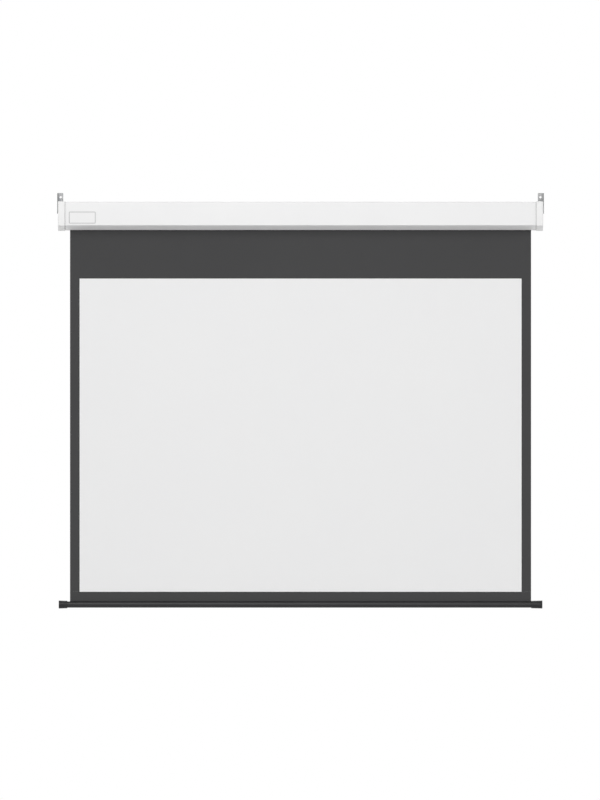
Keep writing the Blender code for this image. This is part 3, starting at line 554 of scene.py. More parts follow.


# The case's coat gets painted shade, grey 0.50, in its seams and corners out to 16 mm.
WHITE_COAT = GrainedCoat(
    name="white powder coat", colour=(0.783, 0.783, 0.783), drift=(0.770, 0.770, 0.772),
    smooth=0.36, rough=0.46, relief=0.00002, grain=0.0014, worn=(0.70, 0.70, 0.70),
    edge=0.0007, wear_patch=0.0225, settled=(0.50, 0.50, 0.50), reach=0.016,
)
# The caps' moulding gets darker painted shade, grey 0.20, in its seams and corners.
WHITE_MOULDING = GrainedCoat(
    name="white moulded plastic", colour=(0.797, 0.797, 0.796), drift=(0.785, 0.785, 0.783),
    smooth=0.42, rough=0.54, relief=0.000015, worn=(0.76, 0.76, 0.755),
    settled=(0.20, 0.20, 0.20),
)
PLATE_FIELD = GrainedCoat(
    name="white plate plastic", colour=(0.775, 0.775, 0.775), drift=(0.764, 0.764, 0.764),
    smooth=0.40, rough=0.50, relief=0.00001,
)
PALE_BAND = GrainedCoat(
    name="pale grey plate rim", colour=(0.46, 0.46, 0.46), drift=(0.43, 0.43, 0.435),
    smooth=0.42, rough=0.54, relief=0.00001, worn=(0.48, 0.48, 0.48),
)
BLACK_MOULDING = GrainedCoat(
    name="black moulded plastic", colour=(0.011, 0.011, 0.012), drift=(0.016, 0.016, 0.017),
    smooth=0.30, rough=0.42, relief=0.000015, worn=(0.035, 0.035, 0.036), level=0.22,
)
NATURAL_NYLON = GrainedCoat(
    name="natural nylon", colour=(0.80, 0.78, 0.71), drift=(0.76, 0.73, 0.65),
    smooth=0.40, rough=0.55, relief=0.00001, worn=(0.84, 0.82, 0.76),
)
ZINC_STEEL = GrainedCoat(
    name="zinc plated steel", colour=(0.22, 0.225, 0.235), drift=(0.29, 0.29, 0.285),
    smooth=0.34, rough=0.50, relief=0.000008, patch=0.012, metallic=1.0, grain=0.0006,
    worn=(0.40, 0.41, 0.42), edge=0.0008, wear_patch=0.012, cloudy=True,
)
BRIGHT_STEEL = DrawnMetal(
    name="bright drawn steel", colour=(0.62, 0.62, 0.63), drift=(0.50, 0.50, 0.52),
    smooth=0.22, rough=0.36, relief=0.000006,
)
MILL_ALUMINIUM = DrawnMetal(
    name="mill finish aluminium", colour=(0.80, 0.81, 0.82), drift=(0.68, 0.69, 0.71),
    smooth=0.28, rough=0.42, relief=0.000008, run=0.2,
)
BLACK_BAR = DrawnMetal(
    name="satin black over drawn aluminium", colour=(0.014, 0.014, 0.015),
    drift=(0.020, 0.020, 0.021), smooth=0.26, rough=0.36, relief=0.000006,
    line=0.0006, run=0.25, metallic=0.0, level=0.26,
)
PICTURE_WHITE = CoatedCloth(
    name="matte white picture surface", colour=(0.80, 0.80, 0.80), drift=(0.79, 0.79, 0.795),
    smooth=0.82, rough=0.95, relief=0.00002, between=0.03, patch=0.35,
)
BLACK_MASK = CoatedCloth(
    name="black masking ink on cloth", colour=(0.052, 0.052, 0.053), drift=(0.048, 0.048, 0.049),
    smooth=0.75, rough=0.90, relief=0.00002, patch=0.35,
)
BLACK_BACK = CoatedCloth(
    name="black light stop on cloth", colour=(0.034, 0.034, 0.035), drift=(0.044, 0.044, 0.045),
    smooth=0.60, rough=0.82, relief=0.00006, between=0.25, patch=0.25,
)


class Stock(Enum):
    """What the pieces are made of: the record's slot, then the finishes by face number."""

    CASE = ("white_coat", WHITE_COAT)
    CAP = ("white_plastic", WHITE_MOULDING)
    PLATE = ("white_plastic", PLATE_FIELD, PALE_BAND)
    ZINC = ("zinc_steel", ZINC_STEEL)
    STEEL = ("bright_steel", BRIGHT_STEEL)
    NYLON = ("natural_nylon", NATURAL_NYLON)
    PLASTIC = ("black_plastic", BLACK_MOULDING)
    ALUMINIUM = ("mill_aluminium", MILL_ALUMINIUM)
    BAR = ("black_metal", BLACK_BAR)
    SHEET = ("screen_fabric", PICTURE_WHITE, BLACK_MASK, BLACK_BACK)
    HEM = ("screen_fabric", BLACK_BACK, BLACK_MASK)
    ROLLED = ("roll_fabric", BLACK_BACK, BLACK_MASK)


class Paintbox:
    """Makes each finish's material once, and sends finished pieces to their bodies."""

    def __init__(self) -> None:
        """Start with an empty box."""
        self._effects = EffectLibrary()
        self._made: dict[Finish, bpy.types.Material] = {}

    def _material(self, finish: Finish) -> bpy.types.Material:
        """The material of a finish.

        Args:
            finish: The finish.

        Returns:
            Its material, the same one each time.
        """
        if finish not in self._made:
            made = bpy.data.materials.new(finish.name)
            made.use_nodes = True
            shader = made.node_tree.nodes["Principled BSDF"]
            finish.dress(Graph(made.node_tree), shader, self._effects)
            self._made[finish] = made
        return self._made[finish]

    def present(self, piece: Piece, body: Body, stock: Stock, *replaced: str) -> Piece:
        """Dress a piece and let it ride on its body, in place of the nodes it stands for.

        Args:
            piece: The piece.
            body: The body that it rides on.
            stock: What it is made of.
            *replaced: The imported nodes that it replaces.

        Returns:
            The piece.
        """
        slot, *finishes = stock.value
        for finish in finishes:
            piece.data.materials.append(self._material(finish))
        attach(piece, body.value)
        if replaced:
            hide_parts(*replaced)
        LOG.info("piece %s: %d faces, on %s", piece.name, len(piece.data.polygons), body.value)
        return piece


def arc(centre: Point, radius: float, start: float, end: float, steps: int) -> list[Point]:
    """Points of an arc, both ends included.

    Args:
        centre: Its centre.
        radius: Its radius.
        start: Its first angle, in degrees.
        end: Its last angle, in degrees.
        steps: How many chords it has.

    Returns:
        The points.
    """
    across, up = centre
    angles = [math.radians(start + (end - start) * i / steps) for i in range(steps + 1)]
    return [(across + radius * math.cos(a), up + radius * math.sin(a)) for a in angles]


def circle(centre: Point, radius: float, steps: int = HOLE_STEPS) -> list[Point]:
    """A closed round outline of equal chords."""
    return arc(centre, radius, 0.0, 360.0, steps)[:-1]


def rounded(corners: Sequence[Point], radii: Sequence[float], steps: int) -> list[Point]:
    """An outline with an arc at each of its corners.

    Args:
        corners: The corners, in order.
        radii: The radius at each corner, 0 for a plain one.
        steps: How many chords an arc has.

    Returns:
        The outline's points.
    """
    outline: list[Point] = []
    for i, corner in enumerate(corners):
        if radii[i] == 0.0:
            outline.append(tuple(corner))
            continue
        here = Vector(corner)
        back = (Vector(corners[i - 1]) - here).normalized()
        on = (Vector(corners[(i + 1) % len(corners)]) - here).normalized()
        half = back.angle(on) / 2.0
        reach = radii[i] / math.tan(half)
        centre = here + (back + on).normalized() * (radii[i] / math.sin(half))
        first = here + back * reach - centre
        last = here + on * reach - centre
        start = math.degrees(math.atan2(first.y, first.x))
        sweep = math.degrees(first.angle_signed(last))
        outline.extend(arc(tuple(centre), radii[i], start, start - sweep, steps))
    return outline


def rectangle(low: Point, high: Point, radius: float = 0.0, steps: int = 1) -> list[Point]:
    """The outline of a rectangle, with round corners where a radius is given."""
    corners = [low, (high[0], low[1]), high, (low[0], high[1])]
    return rounded(corners, [radius] * len(corners), steps)


def along_x(outline: Sequence[Point], x: float) -> list[Vector]:
    """A (y, z) outline as a ring at a place along X."""
    return [Vector((x, y, z)) for y, z in outline]


def along_y(outline: Sequence[Point], y: float) -> list[Vector]:
    """An (x, z) outline as a ring at a place along Y."""
    return [Vector((x, y, z)) for x, z in outline]


def loft(rings: Sequence[Sequence[Vector]]) -> Shape:
    """A closed solid through rings of equally many points, flat at both ends.

    Args:
        rings: The rings, in order.

    Returns:
        The solid.
    """
    shape = bmesh.new()
    rows = [[shape.verts.new(point) for point in ring] for ring in rings]
    for row, following in zip(rows, rows[1:]):
        for i in range(len(row)):
            j = (i + 1) % len(row)
            shape.faces.new((row[i], row[j], following[j], following[i]))
    shape.faces.new(rows[0])
    shape.faces.new(tuple(reversed(rows[-1])))
    bmesh.ops.recalc_face_normals(shape, faces=shape.faces)
    return shape


def prism(outline: Sequence[Point], low: float, high: float) -> Shape:
    """A (y, z) outline drawn along X between two places."""
    return loft([along_x(outline, low), along_x(outline, high)])


def turned(profile: Sequence[Point], steps: int = HOLE_STEPS) -> Shape:
    """A round solid about the X axis.

    Args:
        profile: Its (x, radius) points, from axis to axis or as a loop clear of the axis.
        steps: How many facets it has round the axis.

    Returns:
        The solid.
    """
    shape = bmesh.new()
    points = [shape.verts.new((x, 0.0, radius)) for x, radius in profile]
    pairs = list(zip(points, points[1:]))
    if profile[0][1] > 0.0:
        pairs.append((points[-1], points[0]))
    edges = [shape.edges.new(pair) for pair in pairs]
    bmesh.ops.spin(
        shape,
        geom=points + edges,
        axis=(1.0, 0.0, 0.0),
        cent=(0.0, 0.0, 0.0),
        angle=2.0 * math.pi,
        steps=steps,
        use_merge=True,
    )
    bmesh.ops.remove_doubles(shape, verts=shape.verts, dist=WELD_DISTANCE)
    bmesh.ops.recalc_face_normals(shape, faces=shape.faces)
    return shape


def onto(shape: Shape, centre: Point) -> Shape:
    """Move a shape made about the X axis to an axis through (y, z), and return it."""
    bmesh.ops.translate(shape, vec=(0.0, *centre), verts=shape.verts)
    return shape


def ribbon(
    path: Sequence[Point], stops: Sequence[float], thickness: float, offset: float = 0.0
) -> Shape:
    """A thin strip whose (y, z) path is drawn along X, as a closed solid.

    Its cloth map holds metres along the width and along the path. The front faces have
    material 0, and the back ones and the edges have material 1.

    Args:
        path: The path's points.
        stops: The places along X where the strip has a row of points.
        thickness: The strip's thickness.
        offset: 1 for all the thickness on the path's left, 0 for half on each side.

    Returns:
        The solid.
    """
    last_i, last_j = len(stops) - 1, len(path) - 1
    lengths = [0.0]
    for here, there in zip(path, path[1:]):
        lengths.append(lengths[-1] + math.dist(here, there))
    normals = []
    for j in range(len(path)):
        along = Vector(path[min(j + 1, last_j)]) - Vector(path[max(j - 1, 0)])
        along.normalize()
        normals.append(Vector((-along.y, along.x)))
    shape = bmesh.new()
    cloth = shape.loops.layers.uv.new(CLOTH_MAP)
    map_at = {}
    sheets = []
    for side in (0.5 + 0.5 * offset, -0.5 + 0.5 * offset):
        grid = []
        for x in stops:
            row = []
            for (y, z), normal, length in zip(path, normals, lengths):
                shift = normal * (side * thickness)
                row.append(shape.verts.new((x, y + shift.x, z + shift.y)))
                map_at[row[-1]] = (x, length)
            grid.append(row)
        sheets.append(grid)

    def face(corners: Sequence[bmesh.types.BMVert], number: int) -> None:
        """Add one face with its cloth map.

        Args:
            corners: Its corners.
            number: Its material's number.
        """
        made = shape.faces.new(corners)
        made.material_index = number
        made.smooth = True
        for loop in made.loops:
            loop[cloth].uv = map_at[loop.vert]

    for number, grid in enumerate(sheets):
        for i in range(last_i):
            for j in range(last_j):
                corners = (grid[i][j], grid[i + 1][j], grid[i + 1][j + 1], grid[i][j + 1])
                face(corners if number else tuple(reversed(corners)), number)
    top, under = sheets
    for i in (0, last_i):
        for j in range(last_j):
            face((top[i][j], top[i][j + 1], under[i][j + 1], under[i][j]), 1)
    for j in (0, last_j):
        for i in range(last_i):
            face((top[i][j], top[i + 1][j], under[i + 1][j], under[i][j]), 1)
    bmesh.ops.recalc_face_normals(shape, faces=shape.faces)
    return shape


def mirrored(shape: Shape, side: Side) -> Shape:
    """A shape made for the right end, turned into the left end's where that is asked.

    Args:
        shape: The shape.
        side: The end that it is for.

    Returns:
        The same shape, mirrored for the left end.
    """
    if side is Side.LEFT:
        flip = Matrix.Scale(-1.0, 4, Vector((1.0, 0.0, 0.0)))
        bmesh.ops.transform(shape, matrix=flip, verts=shape.verts)
        bmesh.ops.reverse_faces(shape, faces=shape.faces)
    return shape


def linked(name: str, data: bpy.types.ID) -> Piece:
    """Put a new object in the scene.

    Args:
        name: Its name.
        data: Its mesh, lamp or camera.

    Returns:
        The object.
    """
    made = bpy.data.objects.new(name, data)
    bpy.context.scene.collection.objects.link(made)
    return made


def shade(mesh: bpy.types.Mesh) -> None:
    """Show a mesh smooth but for its sharp edges."""
    mesh.shade_smooth()
    mesh.set_sharp_from_angle(angle=SHARP_ANGLE)


def into_object(shape: Shape, name: str) -> Piece:
    """Put a shape in the scene.

    Args:
        shape: The shape, which is freed.
        name: The object's name.

    Returns:
        The object.
    """
    mesh = bpy.data.meshes.new(name)
    shape.to_mesh(mesh)
    shape.free()
    shade(mesh)
    return linked(name, mesh)


@contextmanager
def opened(mesh: bpy.types.Mesh) -> Iterator[Shape]:
    """Open a mesh for changes, and write them back to it.

    Args:
        mesh: The mesh.

    Yields:
        The mesh as a shape.
    """
    shape = bmesh.new()
    shape.from_mesh(mesh)
    yield shape
    shape.to_mesh(mesh)
    shape.free()


def settle(piece: Piece) -> None:
    """Apply a piece's modifiers and clean its mesh.

    Args:
        piece: The piece.
    """
    bpy.context.view_layer.update()
    graph = bpy.context.evaluated_depsgraph_get()
    mesh = bpy.data.meshes.new_from_object(piece.evaluated_get(graph), depsgraph=graph)
    piece.modifiers.clear()
    with opened(mesh) as shape:
        bmesh.ops.remove_doubles(shape, verts=shape.verts, dist=WELD_DISTANCE)
        bmesh.ops.recalc_face_normals(shape, faces=shape.faces)
    shade(mesh)
    mesh.name = piece.name
    piece.data = mesh


def carve(piece: Piece, cuts: Sequence[Shape], joins: Sequence[Shape] = ()) -> None:
    """Join shapes to a piece, then cut shapes from it.

    Args:
        piece: The piece.
        cuts: The shapes to cut from it.
        joins: The shapes to join to it.
    """
    tools = []
    for operation, shapes in (("UNION", joins), ("DIFFERENCE", cuts)):
        for shape in shapes:
            tools.append(into_object(shape, "tool"))
            change = piece.modifiers.new("tool", "BOOLEAN")
            change.operation = operation
            change.solver = "EXACT"
            change.object = tools[-1]
    settle(piece)
    for tool in tools:
        bpy.data.objects.remove(tool, do_unlink=True)


def soften(piece: Piece, width: float) -> None:
    """Round a piece's sharp edges a little.

    Args:
        piece: The piece.
        width: The width of the rounding.
    """
    edge = piece.modifiers.new("soften", "BEVEL")
    edge.width = width
    edge.segments = SOFT_STEPS
    edge.limit_method = "ANGLE"
    edge.angle_limit = SHARP_ANGLE
    edge.miter_outer = "MITER_ARC"
    edge.use_clamp_overlap = True
    settle(piece)


@dataclass(frozen=True)
class CaseSection:
    """The case's folded section in (y, z), which its end caps follow."""

    box: Extent  # The case's box.
    slot_middle: float  # The fabric's distance in front of the wall.
    slot_width: float = 0.015  # The width of the slot in the underside.
    underside_drop: float = 0.0161  # How far the slot's front lip lies below the front's foot.
    wall: float = 0.0015  # The sheet's thickness.
    front_radius: float = 0.003  # The bend radius at the front's two edges.
    back_radius: float = 0.0025  # The bend radius at the back's two edges.
    hem_radius: float = 0.002  # The bend radius at the slot's hems.
    hem: float = 0.006  # The height of the slot's hems.
    tightest: float = 0.0005  # The smallest corner radius of an outline moved inwards.
    steps: int = 8  # How many chords a bend has.

    @property
    def slot_front(self) -> float:
        """The slot's front edge."""
        return -self.slot_middle - self.slot_width / 2.0

    @property
    def slot_back(self) -> float:
        """The slot's back edge."""
        return -self.slot_middle + self.slot_width / 2.0

    @property
    def bends(self) -> list[float]:
        """The bend radius at each of the section's corners."""
        return [self.back_radius] * 2 + [self.front_radius] * 2 + [self.hem_radius]

    def corners(self, grow: float = 0.0, back: float = 0.0) -> list[Point]:
        """The section's corners, from the back of the underside up, over and down.

        Args:
            grow: How far each side but the back is moved out.
            back: How far the back lies in front of the wall.

        Returns:
            The corners.
        """
        top, lip, front = self.box.high.z, self.box.low.z, self.box.low.y
        slope = math.atan2(self.underside_drop, self.slot_front - front)
        foot = lip + self.underside_drop - grow * (1.0 - math.sin(slope)) / math.cos(slope)
        lip_front = self.slot_front - grow * (1.0 - math.cos(slope)) / math.sin(slope)
        return [
            (-back, lip - grow),
            (-back, top + grow),
            (front - grow, top + grow),
            (front - grow, foot),
            (lip_front, lip - grow),
        ]

    def outline(self, grow: float, back: float) -> list[Point]:
        """The closed section, with its sides moved out or in."""
        radii = [max(bend + grow, self.tightest) for bend in self.bends]
        return rounded(self.corners(grow, back), radii, self.steps)

    def sheet_path(self) -> list[Point]:
        """The outer face of the folded sheet.

        Returns:
            Its points, from its back hem to its front hem.
        """
        lip, hem_top = self.box.low.z, self.box.low.z + self.hem
        back_hem = [(self.slot_back, hem_top), (self.slot_back, lip)]
        path = [*back_hem, *self.corners(), (self.slot_front, hem_top)]
        return rounded(path, [0.0, self.hem_radius, *self.bends, 0.0], self.steps)


@dataclass
class Case:
    """The folded case, its end caps and the blank plate on its front."""

    section: CaseSection  # The case's section.
    paint: Paintbox
    rim_wall: float = 0.0025  # The wall of a cap's rim.
    end_wall: float = 0.003  # A cap's end wall.
    web: float = 0.003  # The wall between a cap's spigot and its hollow.
    spigot_length: float = 0.008  # How far a cap's spigot reaches into the case.
    spigot_wall: float = 0.0015  # The spigot's wall.
    edge_radius: float = 0.0022  # The rounding of a cap's outer edge.
    groove: float = 0.0014  # The chamfer of a cap's edge that faces the case.
    seam: float = 0.0005  # How far the sheet is trimmed at each end, so that its joint with a cap shows.
    round_steps: int = 6  # How many chords the rounding has.
    screw_clearance: float = 0.0002  # The clearance of a screw's shank in its hole.
    plate_radius: float = 0.002  # The corner radius of the blank plate.
    plate_edge: float = 0.00015  # The chamfer of the plate's edge.
    plate_rim: float = 0.0017  # The width of the plate's rim.
    plate_recess: float = 0.00025  # The depth of the plate's field behind its rim.

    def build(self) -> None:
        """Make and dress the case, both caps and the plate."""
        self._sheet()
        for side in Side:
            self._cap(side)
        self._plate()

    def _sheet(self) -> None:
        """The folded sheet, with its true wall and bend radii."""
        low, high = self.section.box.ends
        ends = (low + self.seam, high - self.seam)
        shape = ribbon(self.section.sheet_path(), ends, self.section.wall, offset=1.0)
        for face in shape.faces:
            face.material_index = 0
        made = into_object(shape, "folded_case")
        self.paint.present(made, Body.HOUSING, Stock.CASE, "case_shell")

    def _block(self, grow: float, back: float, low: float, high: float) -> Shape:
        """A length of the section along X, with its sides moved out or in."""
        return prism(self.section.outline(grow, back), low, high)

    def _cap_skin(self, inner: float, outer: float, proud: float) -> Shape:
        """A cap's outside, chamfered towards the case and rounded at its end.

        Args:
            inner: Its face towards the case.
            outer: Its end face.
            proud: How far it stands out of the case.

        Returns:
            The solid.
        """
        stations = [(inner, proud - self.groove, 0.0), (inner + self.groove, proud, 0.0)]
        for step in range(self.round_steps + 1):
            angle = math.radians(90.0 * step / self.round_steps)
            inset = self.edge_radius * (1.0 - math.cos(angle))
            x = outer - self.edge_radius * (1.0 - math.sin(angle))
            stations.append((x, proud - inset, inset))
        return loft([along_x(self.section.outline(grow, back), x) for x, grow, back in stations])

    def _cap(self, side: Side) -> None:
        """One end cap, with its spigot, its hollow and its screw holes.

        Args:
            side: The end that it closes.
        """
        section = self.section
        cap = Extent.of("end_cap_right")
        inner = section.box.high.x + SEAT_GAP
        outer = cap.high.x
        proud = cap.high.z - section.box.high.z
        web = inner + self.web
        spigot_low = inner - self.spigot_length
        end_wall = outer - self.end_wall
        shrink = section.wall + SEAT_GAP
        bore = shrink + self.spigot_wall
        hollow_back = max(self.rim_wall, bore)
        room = section.wall + section.hem_radius
        lip = section.box.low.z
        hem_room = rectangle(
            (section.slot_front - room, lip - CUT_MARGIN),
            (section.slot_back + room, lip + section.hem + SEAT_GAP),
        )
        spigot = self._block(-shrink, shrink, spigot_low, web)
        cuts = [
            self._block(-bore, bore, spigot_low - CUT_MARGIN, web + CUT_MARGIN),
            self._block(proud - self.rim_wall, hollow_back, web, end_wall),
            prism(hem_room, spigot_low - CUT_MARGIN, section.box.high.x),
            *self._screw_holes(end_wall, outer),
        ]
        made = into_object(self._cap_skin(inner, outer, proud), f"cap_moulding_{side.word}")
        carve(made, cuts, joins=[spigot])
        with opened(made.data) as shape:
            mirrored(shape, side)
        self.paint.present(made, Body.HOUSING, Stock.CAP, f"end_cap_{side.word}")

    def _screw_holes(self, end_wall: float, outer: float) -> list[Shape]:
        """The holes of a cap's end wall, with room for the heads that lie in it.

        Args:
            end_wall: The inner face of the end wall.
            outer: Its outer face.

        Returns:
            The cutters.
        """
        low, high = end_wall - CUT_MARGIN, outer + CUT_MARGIN
        cutters = []
        for head in Head:
            for node in head.nodes(Side.RIGHT):
                box = Extent.of(node)
                depths = [(low, ScrewHead.shank_radius + self.screw_clearance)]
                if head is Head.PAN:
                    seat = box.high.x - ScrewHead.head_height - SEAT_GAP
                    depths.append((seat, box.size.y / 2.0 + SEAT_GAP))
                for deep, radius in depths:
                    profile = [(high, 0.0), (high, radius), (deep, radius), (deep, 0.0)]
                    cutters.append(onto(turned(profile), box.centre))
        return cutters

    def _plate(self) -> None:
        """The small blank plate: a field a little behind a thin rim."""
        box = Extent.of("name_plate")
        rim = self.plate_edge + self.plate_rim
        insets = [
            (box.high.y, 0.0),
            (box.low.y + self.plate_edge, 0.0),
            (box.low.y, self.plate_edge),
            (box.low.y, rim),
            (box.low.y + self.plate_recess, rim),
        ]
        rings = []
        for y, inset in insets:
            low = (box.low.x + inset, box.low.z + inset)
            high = (box.high.x - inset, box.high.z - inset)
            radius = max(self.plate_radius - inset, self.section.tightest)
            rings.append(along_y(rectangle(low, high, radius, steps=4), y))
        shape = loft(rings)
        for face in shape.faces:
            flat_front = abs(face.calc_center_median().y - box.low.y) < self.plate_edge / 2.0
            face.material_index = int(flat_front and abs(face.normal.y) > FACING)
        made = into_object(shape, "blank_plate")
        self.paint.present(made, Body.HOUSING, Stock.PLATE, "name_plate")


@dataclass
class ScrewHead:
    """A screw with a cross recess."""

    paint: Paintbox
    shank_radius: float = 0.002  # The shank's radius.
    head_height: float = 0.0014  # The height of a pan head.
    dome: float = 0.0006  # How much a pan head's middle stands over its rim.
    dome_steps: int = 5  # How many chords the dome has from its middle to its rim.
    flat_edge: float = 0.0001  # The chamfer of a flat head's edge.
    tip: float = 0.001  # The chamfer of the shank's end.
    cross_reach: float = 0.55  # How far the cross reaches, as a share of the head's radius.
    cross_width: float = 0.0010  # The width of a bar of the cross.
    cross_depth: float = 0.0009  # The depth of the cross.
    cross_turn: float = 30.0  # How far the driver left the cross turned, in degrees.

    def _profile(self, head: Head, top: float, rim: float) -> list[Point]:
        """The profile of a head, from its axis to its shank.

        Args:
            head: Which head.
            top: The place of its top.
            rim: Its radius.

        Returns:
            The (x, radius) points.
        """
        if head is Head.FLAT:
            edge = self.flat_edge
            return [
                (top, 0.0),
                (top, rim - 2.0 * edge),
                (top - edge, rim - edge),
                (top - rim + self.shank_radius, self.shank_radius),
            ]
        profile: list[Point] = [(top, 0.0)]
        for i in range(1, self.dome_steps + 1):
            angle = math.radians(90.0 * i / self.dome_steps)
            profile.append((top - self.dome * (1.0 - math.cos(angle)), rim * math.sin(angle)))
        seat = top - self.head_height
        return [*profile, (seat, rim), (seat, self.shank_radius)]

    def build(self, node: str, head: Head, side: Side) -> None:
        """Make one screw in the place of its node.

        Args:
            node: The node's name.
            head: Which head it has.
            side: The end of the screen that it is at.
        """
        box = Extent.of(node)
        end, top = side.outwards(box)
        shank = self.shank_radius
        profile = self._profile(head, top, box.radius)
        profile += [(end + self.tip, shank), (end, shank - self.tip), (end, 0.0)]
        made = into_object(turned(profile), f"cross_head_{node}")
        reach, half = box.radius * self.cross_reach, self.cross_width / 2.0
        bars = [rectangle((-y, -z), (y, z)) for y, z in ((reach, half), (half, reach))]
        carve(made, [prism(bar, top - self.cross_depth, top + CUT_MARGIN) for bar in bars])
        turn = Matrix.Rotation(math.radians(self.cross_turn), 4, "X")
        with opened(made.data) as shape:
            bmesh.ops.transform(shape, matrix=turn, verts=shape.verts)
            onto(mirrored(shape, side), box.centre)
        self.paint.present(made, Body.HOUSING, Stock.ZINC, node)


@dataclass
class HangingBracket:
    """A bent steel bracket: a strap on the cap's side, and an ear with the hook hole."""

    paint: Paintbox
    sheet: float = 0.003  # The steel's thickness.
    ear_depth: float = 0.010  # The strap's depth at the ear's top.
    corner: float = 0.003  # The corner radius of the strap.
    ear_corner: float = 0.002  # The corner radius of the ear.
    corner_steps: int = 6  # How many chords a corner has.
    hook_radius: float = 0.00375  # The radius of the hook hole.
    hook_height: float = 0.014  # The hook hole's height over the cap.
    hook_steps: int = 48  # How many chords the hook hole has.
    bend: float = 0.002  # The outer radius of the bend between strap and ear.
    bend_steps: int = 5  # How many facets the bend has.
    edge: float = 0.00025  # The rounding of the sheared edges.

    def build(self, side: Side) -> None:
        """Make one bracket.

        Args:
            side: The end that it is at.
        """
        box = Extent.of("hanging_bracket_right")
        cap_top = Extent.of("end_cap_right").high.z
        inner = box.high.x - self.sheet
        strap = [
            (0.0, box.low.z),
            (0.0, box.high.z),
            (-self.ear_depth, box.high.z),
            (box.low.y, cap_top - self.corner),
            (box.low.y, box.low.z),
        ]
        radii = [self.corner, 0.0, self.corner, self.corner, self.corner]
        strap = rounded(strap, radii, self.corner_steps)
        ear_low = cap_top + SEAT_GAP
        low, high = (box.low.x, ear_low), (box.high.x - self.sheet / 2.0, box.high.z)
        ear = [low, (high[0], low[1]), high, (low[0], high[1])]
        ear = rounded(ear, [self.ear_corner, 0.0, 0.0, self.ear_corner], self.corner_steps)
        flap = loft([along_y(ear, -self.sheet), along_y(ear, 0.0)])
        hook = ((box.low.x + inner) / 2.0, cap_top + self.hook_height)
        ring = circle(hook, self.hook_radius, self.hook_steps)
        cuts = [loft([along_y(ring, -self.sheet - CUT_MARGIN), along_y(ring, CUT_MARGIN)])]
        for node in Head.FLAT.nodes(Side.RIGHT):
            screw = Extent.of(node)
            radius = ScrewHead.shank_radius + SEAT_GAP
            wide = screw.radius + math.sqrt(2.0) * SEAT_GAP
            stations = [
                (inner - CUT_MARGIN, radius),
                (box.high.x + radius - wide, radius),
                (box.high.x + CUT_MARGIN, wide + CUT_MARGIN),
            ]
            cuts.append(loft([along_x(circle(screw.centre, r), x) for x, r in stations]))
        made = into_object(prism(strap, inner, box.high.x), f"bent_bracket_{side.word}")
        carve(made, cuts, joins=[flap])
        self._bend(made, box, ear_low)
        soften(made, self.edge)
        with opened(made.data) as shape:
            mirrored(shape, side)
        self.paint.present(made, Body.HOUSING, Stock.ZINC, f"hanging_bracket_{side.word}")

    def _bend(self, piece: Piece, box: Extent, ear_low: float) -> None:
        """Round the outer corner where the strap turns into the ear.

        Args:
            piece: The bracket.
            box: Its box.
            ear_low: The height of the ear's foot.
        """
        with opened(piece.data) as shape:
            bmesh.ops.bisect_plane(
                shape,
                geom=list(shape.verts) + list(shape.edges) + list(shape.faces),
                plane_co=(0.0, 0.0, ear_low),
                plane_no=(0.0, 0.0, 1.0),
            )
            corner = [
                edge
                for edge in shape.edges
                if all(
                    abs(vert.co.x - box.high.x) < WELD_DISTANCE
                    and abs(vert.co.y) < WELD_DISTANCE
                    and vert.co.z > ear_low - WELD_DISTANCE
                    for vert in edge.verts
                )
            ]
            bmesh.ops.bevel(
                shape,
                geom=corner,
                offset=self.bend,
                segments=self.bend_steps,
                profile=0.5,
                affect="EDGES",
            )


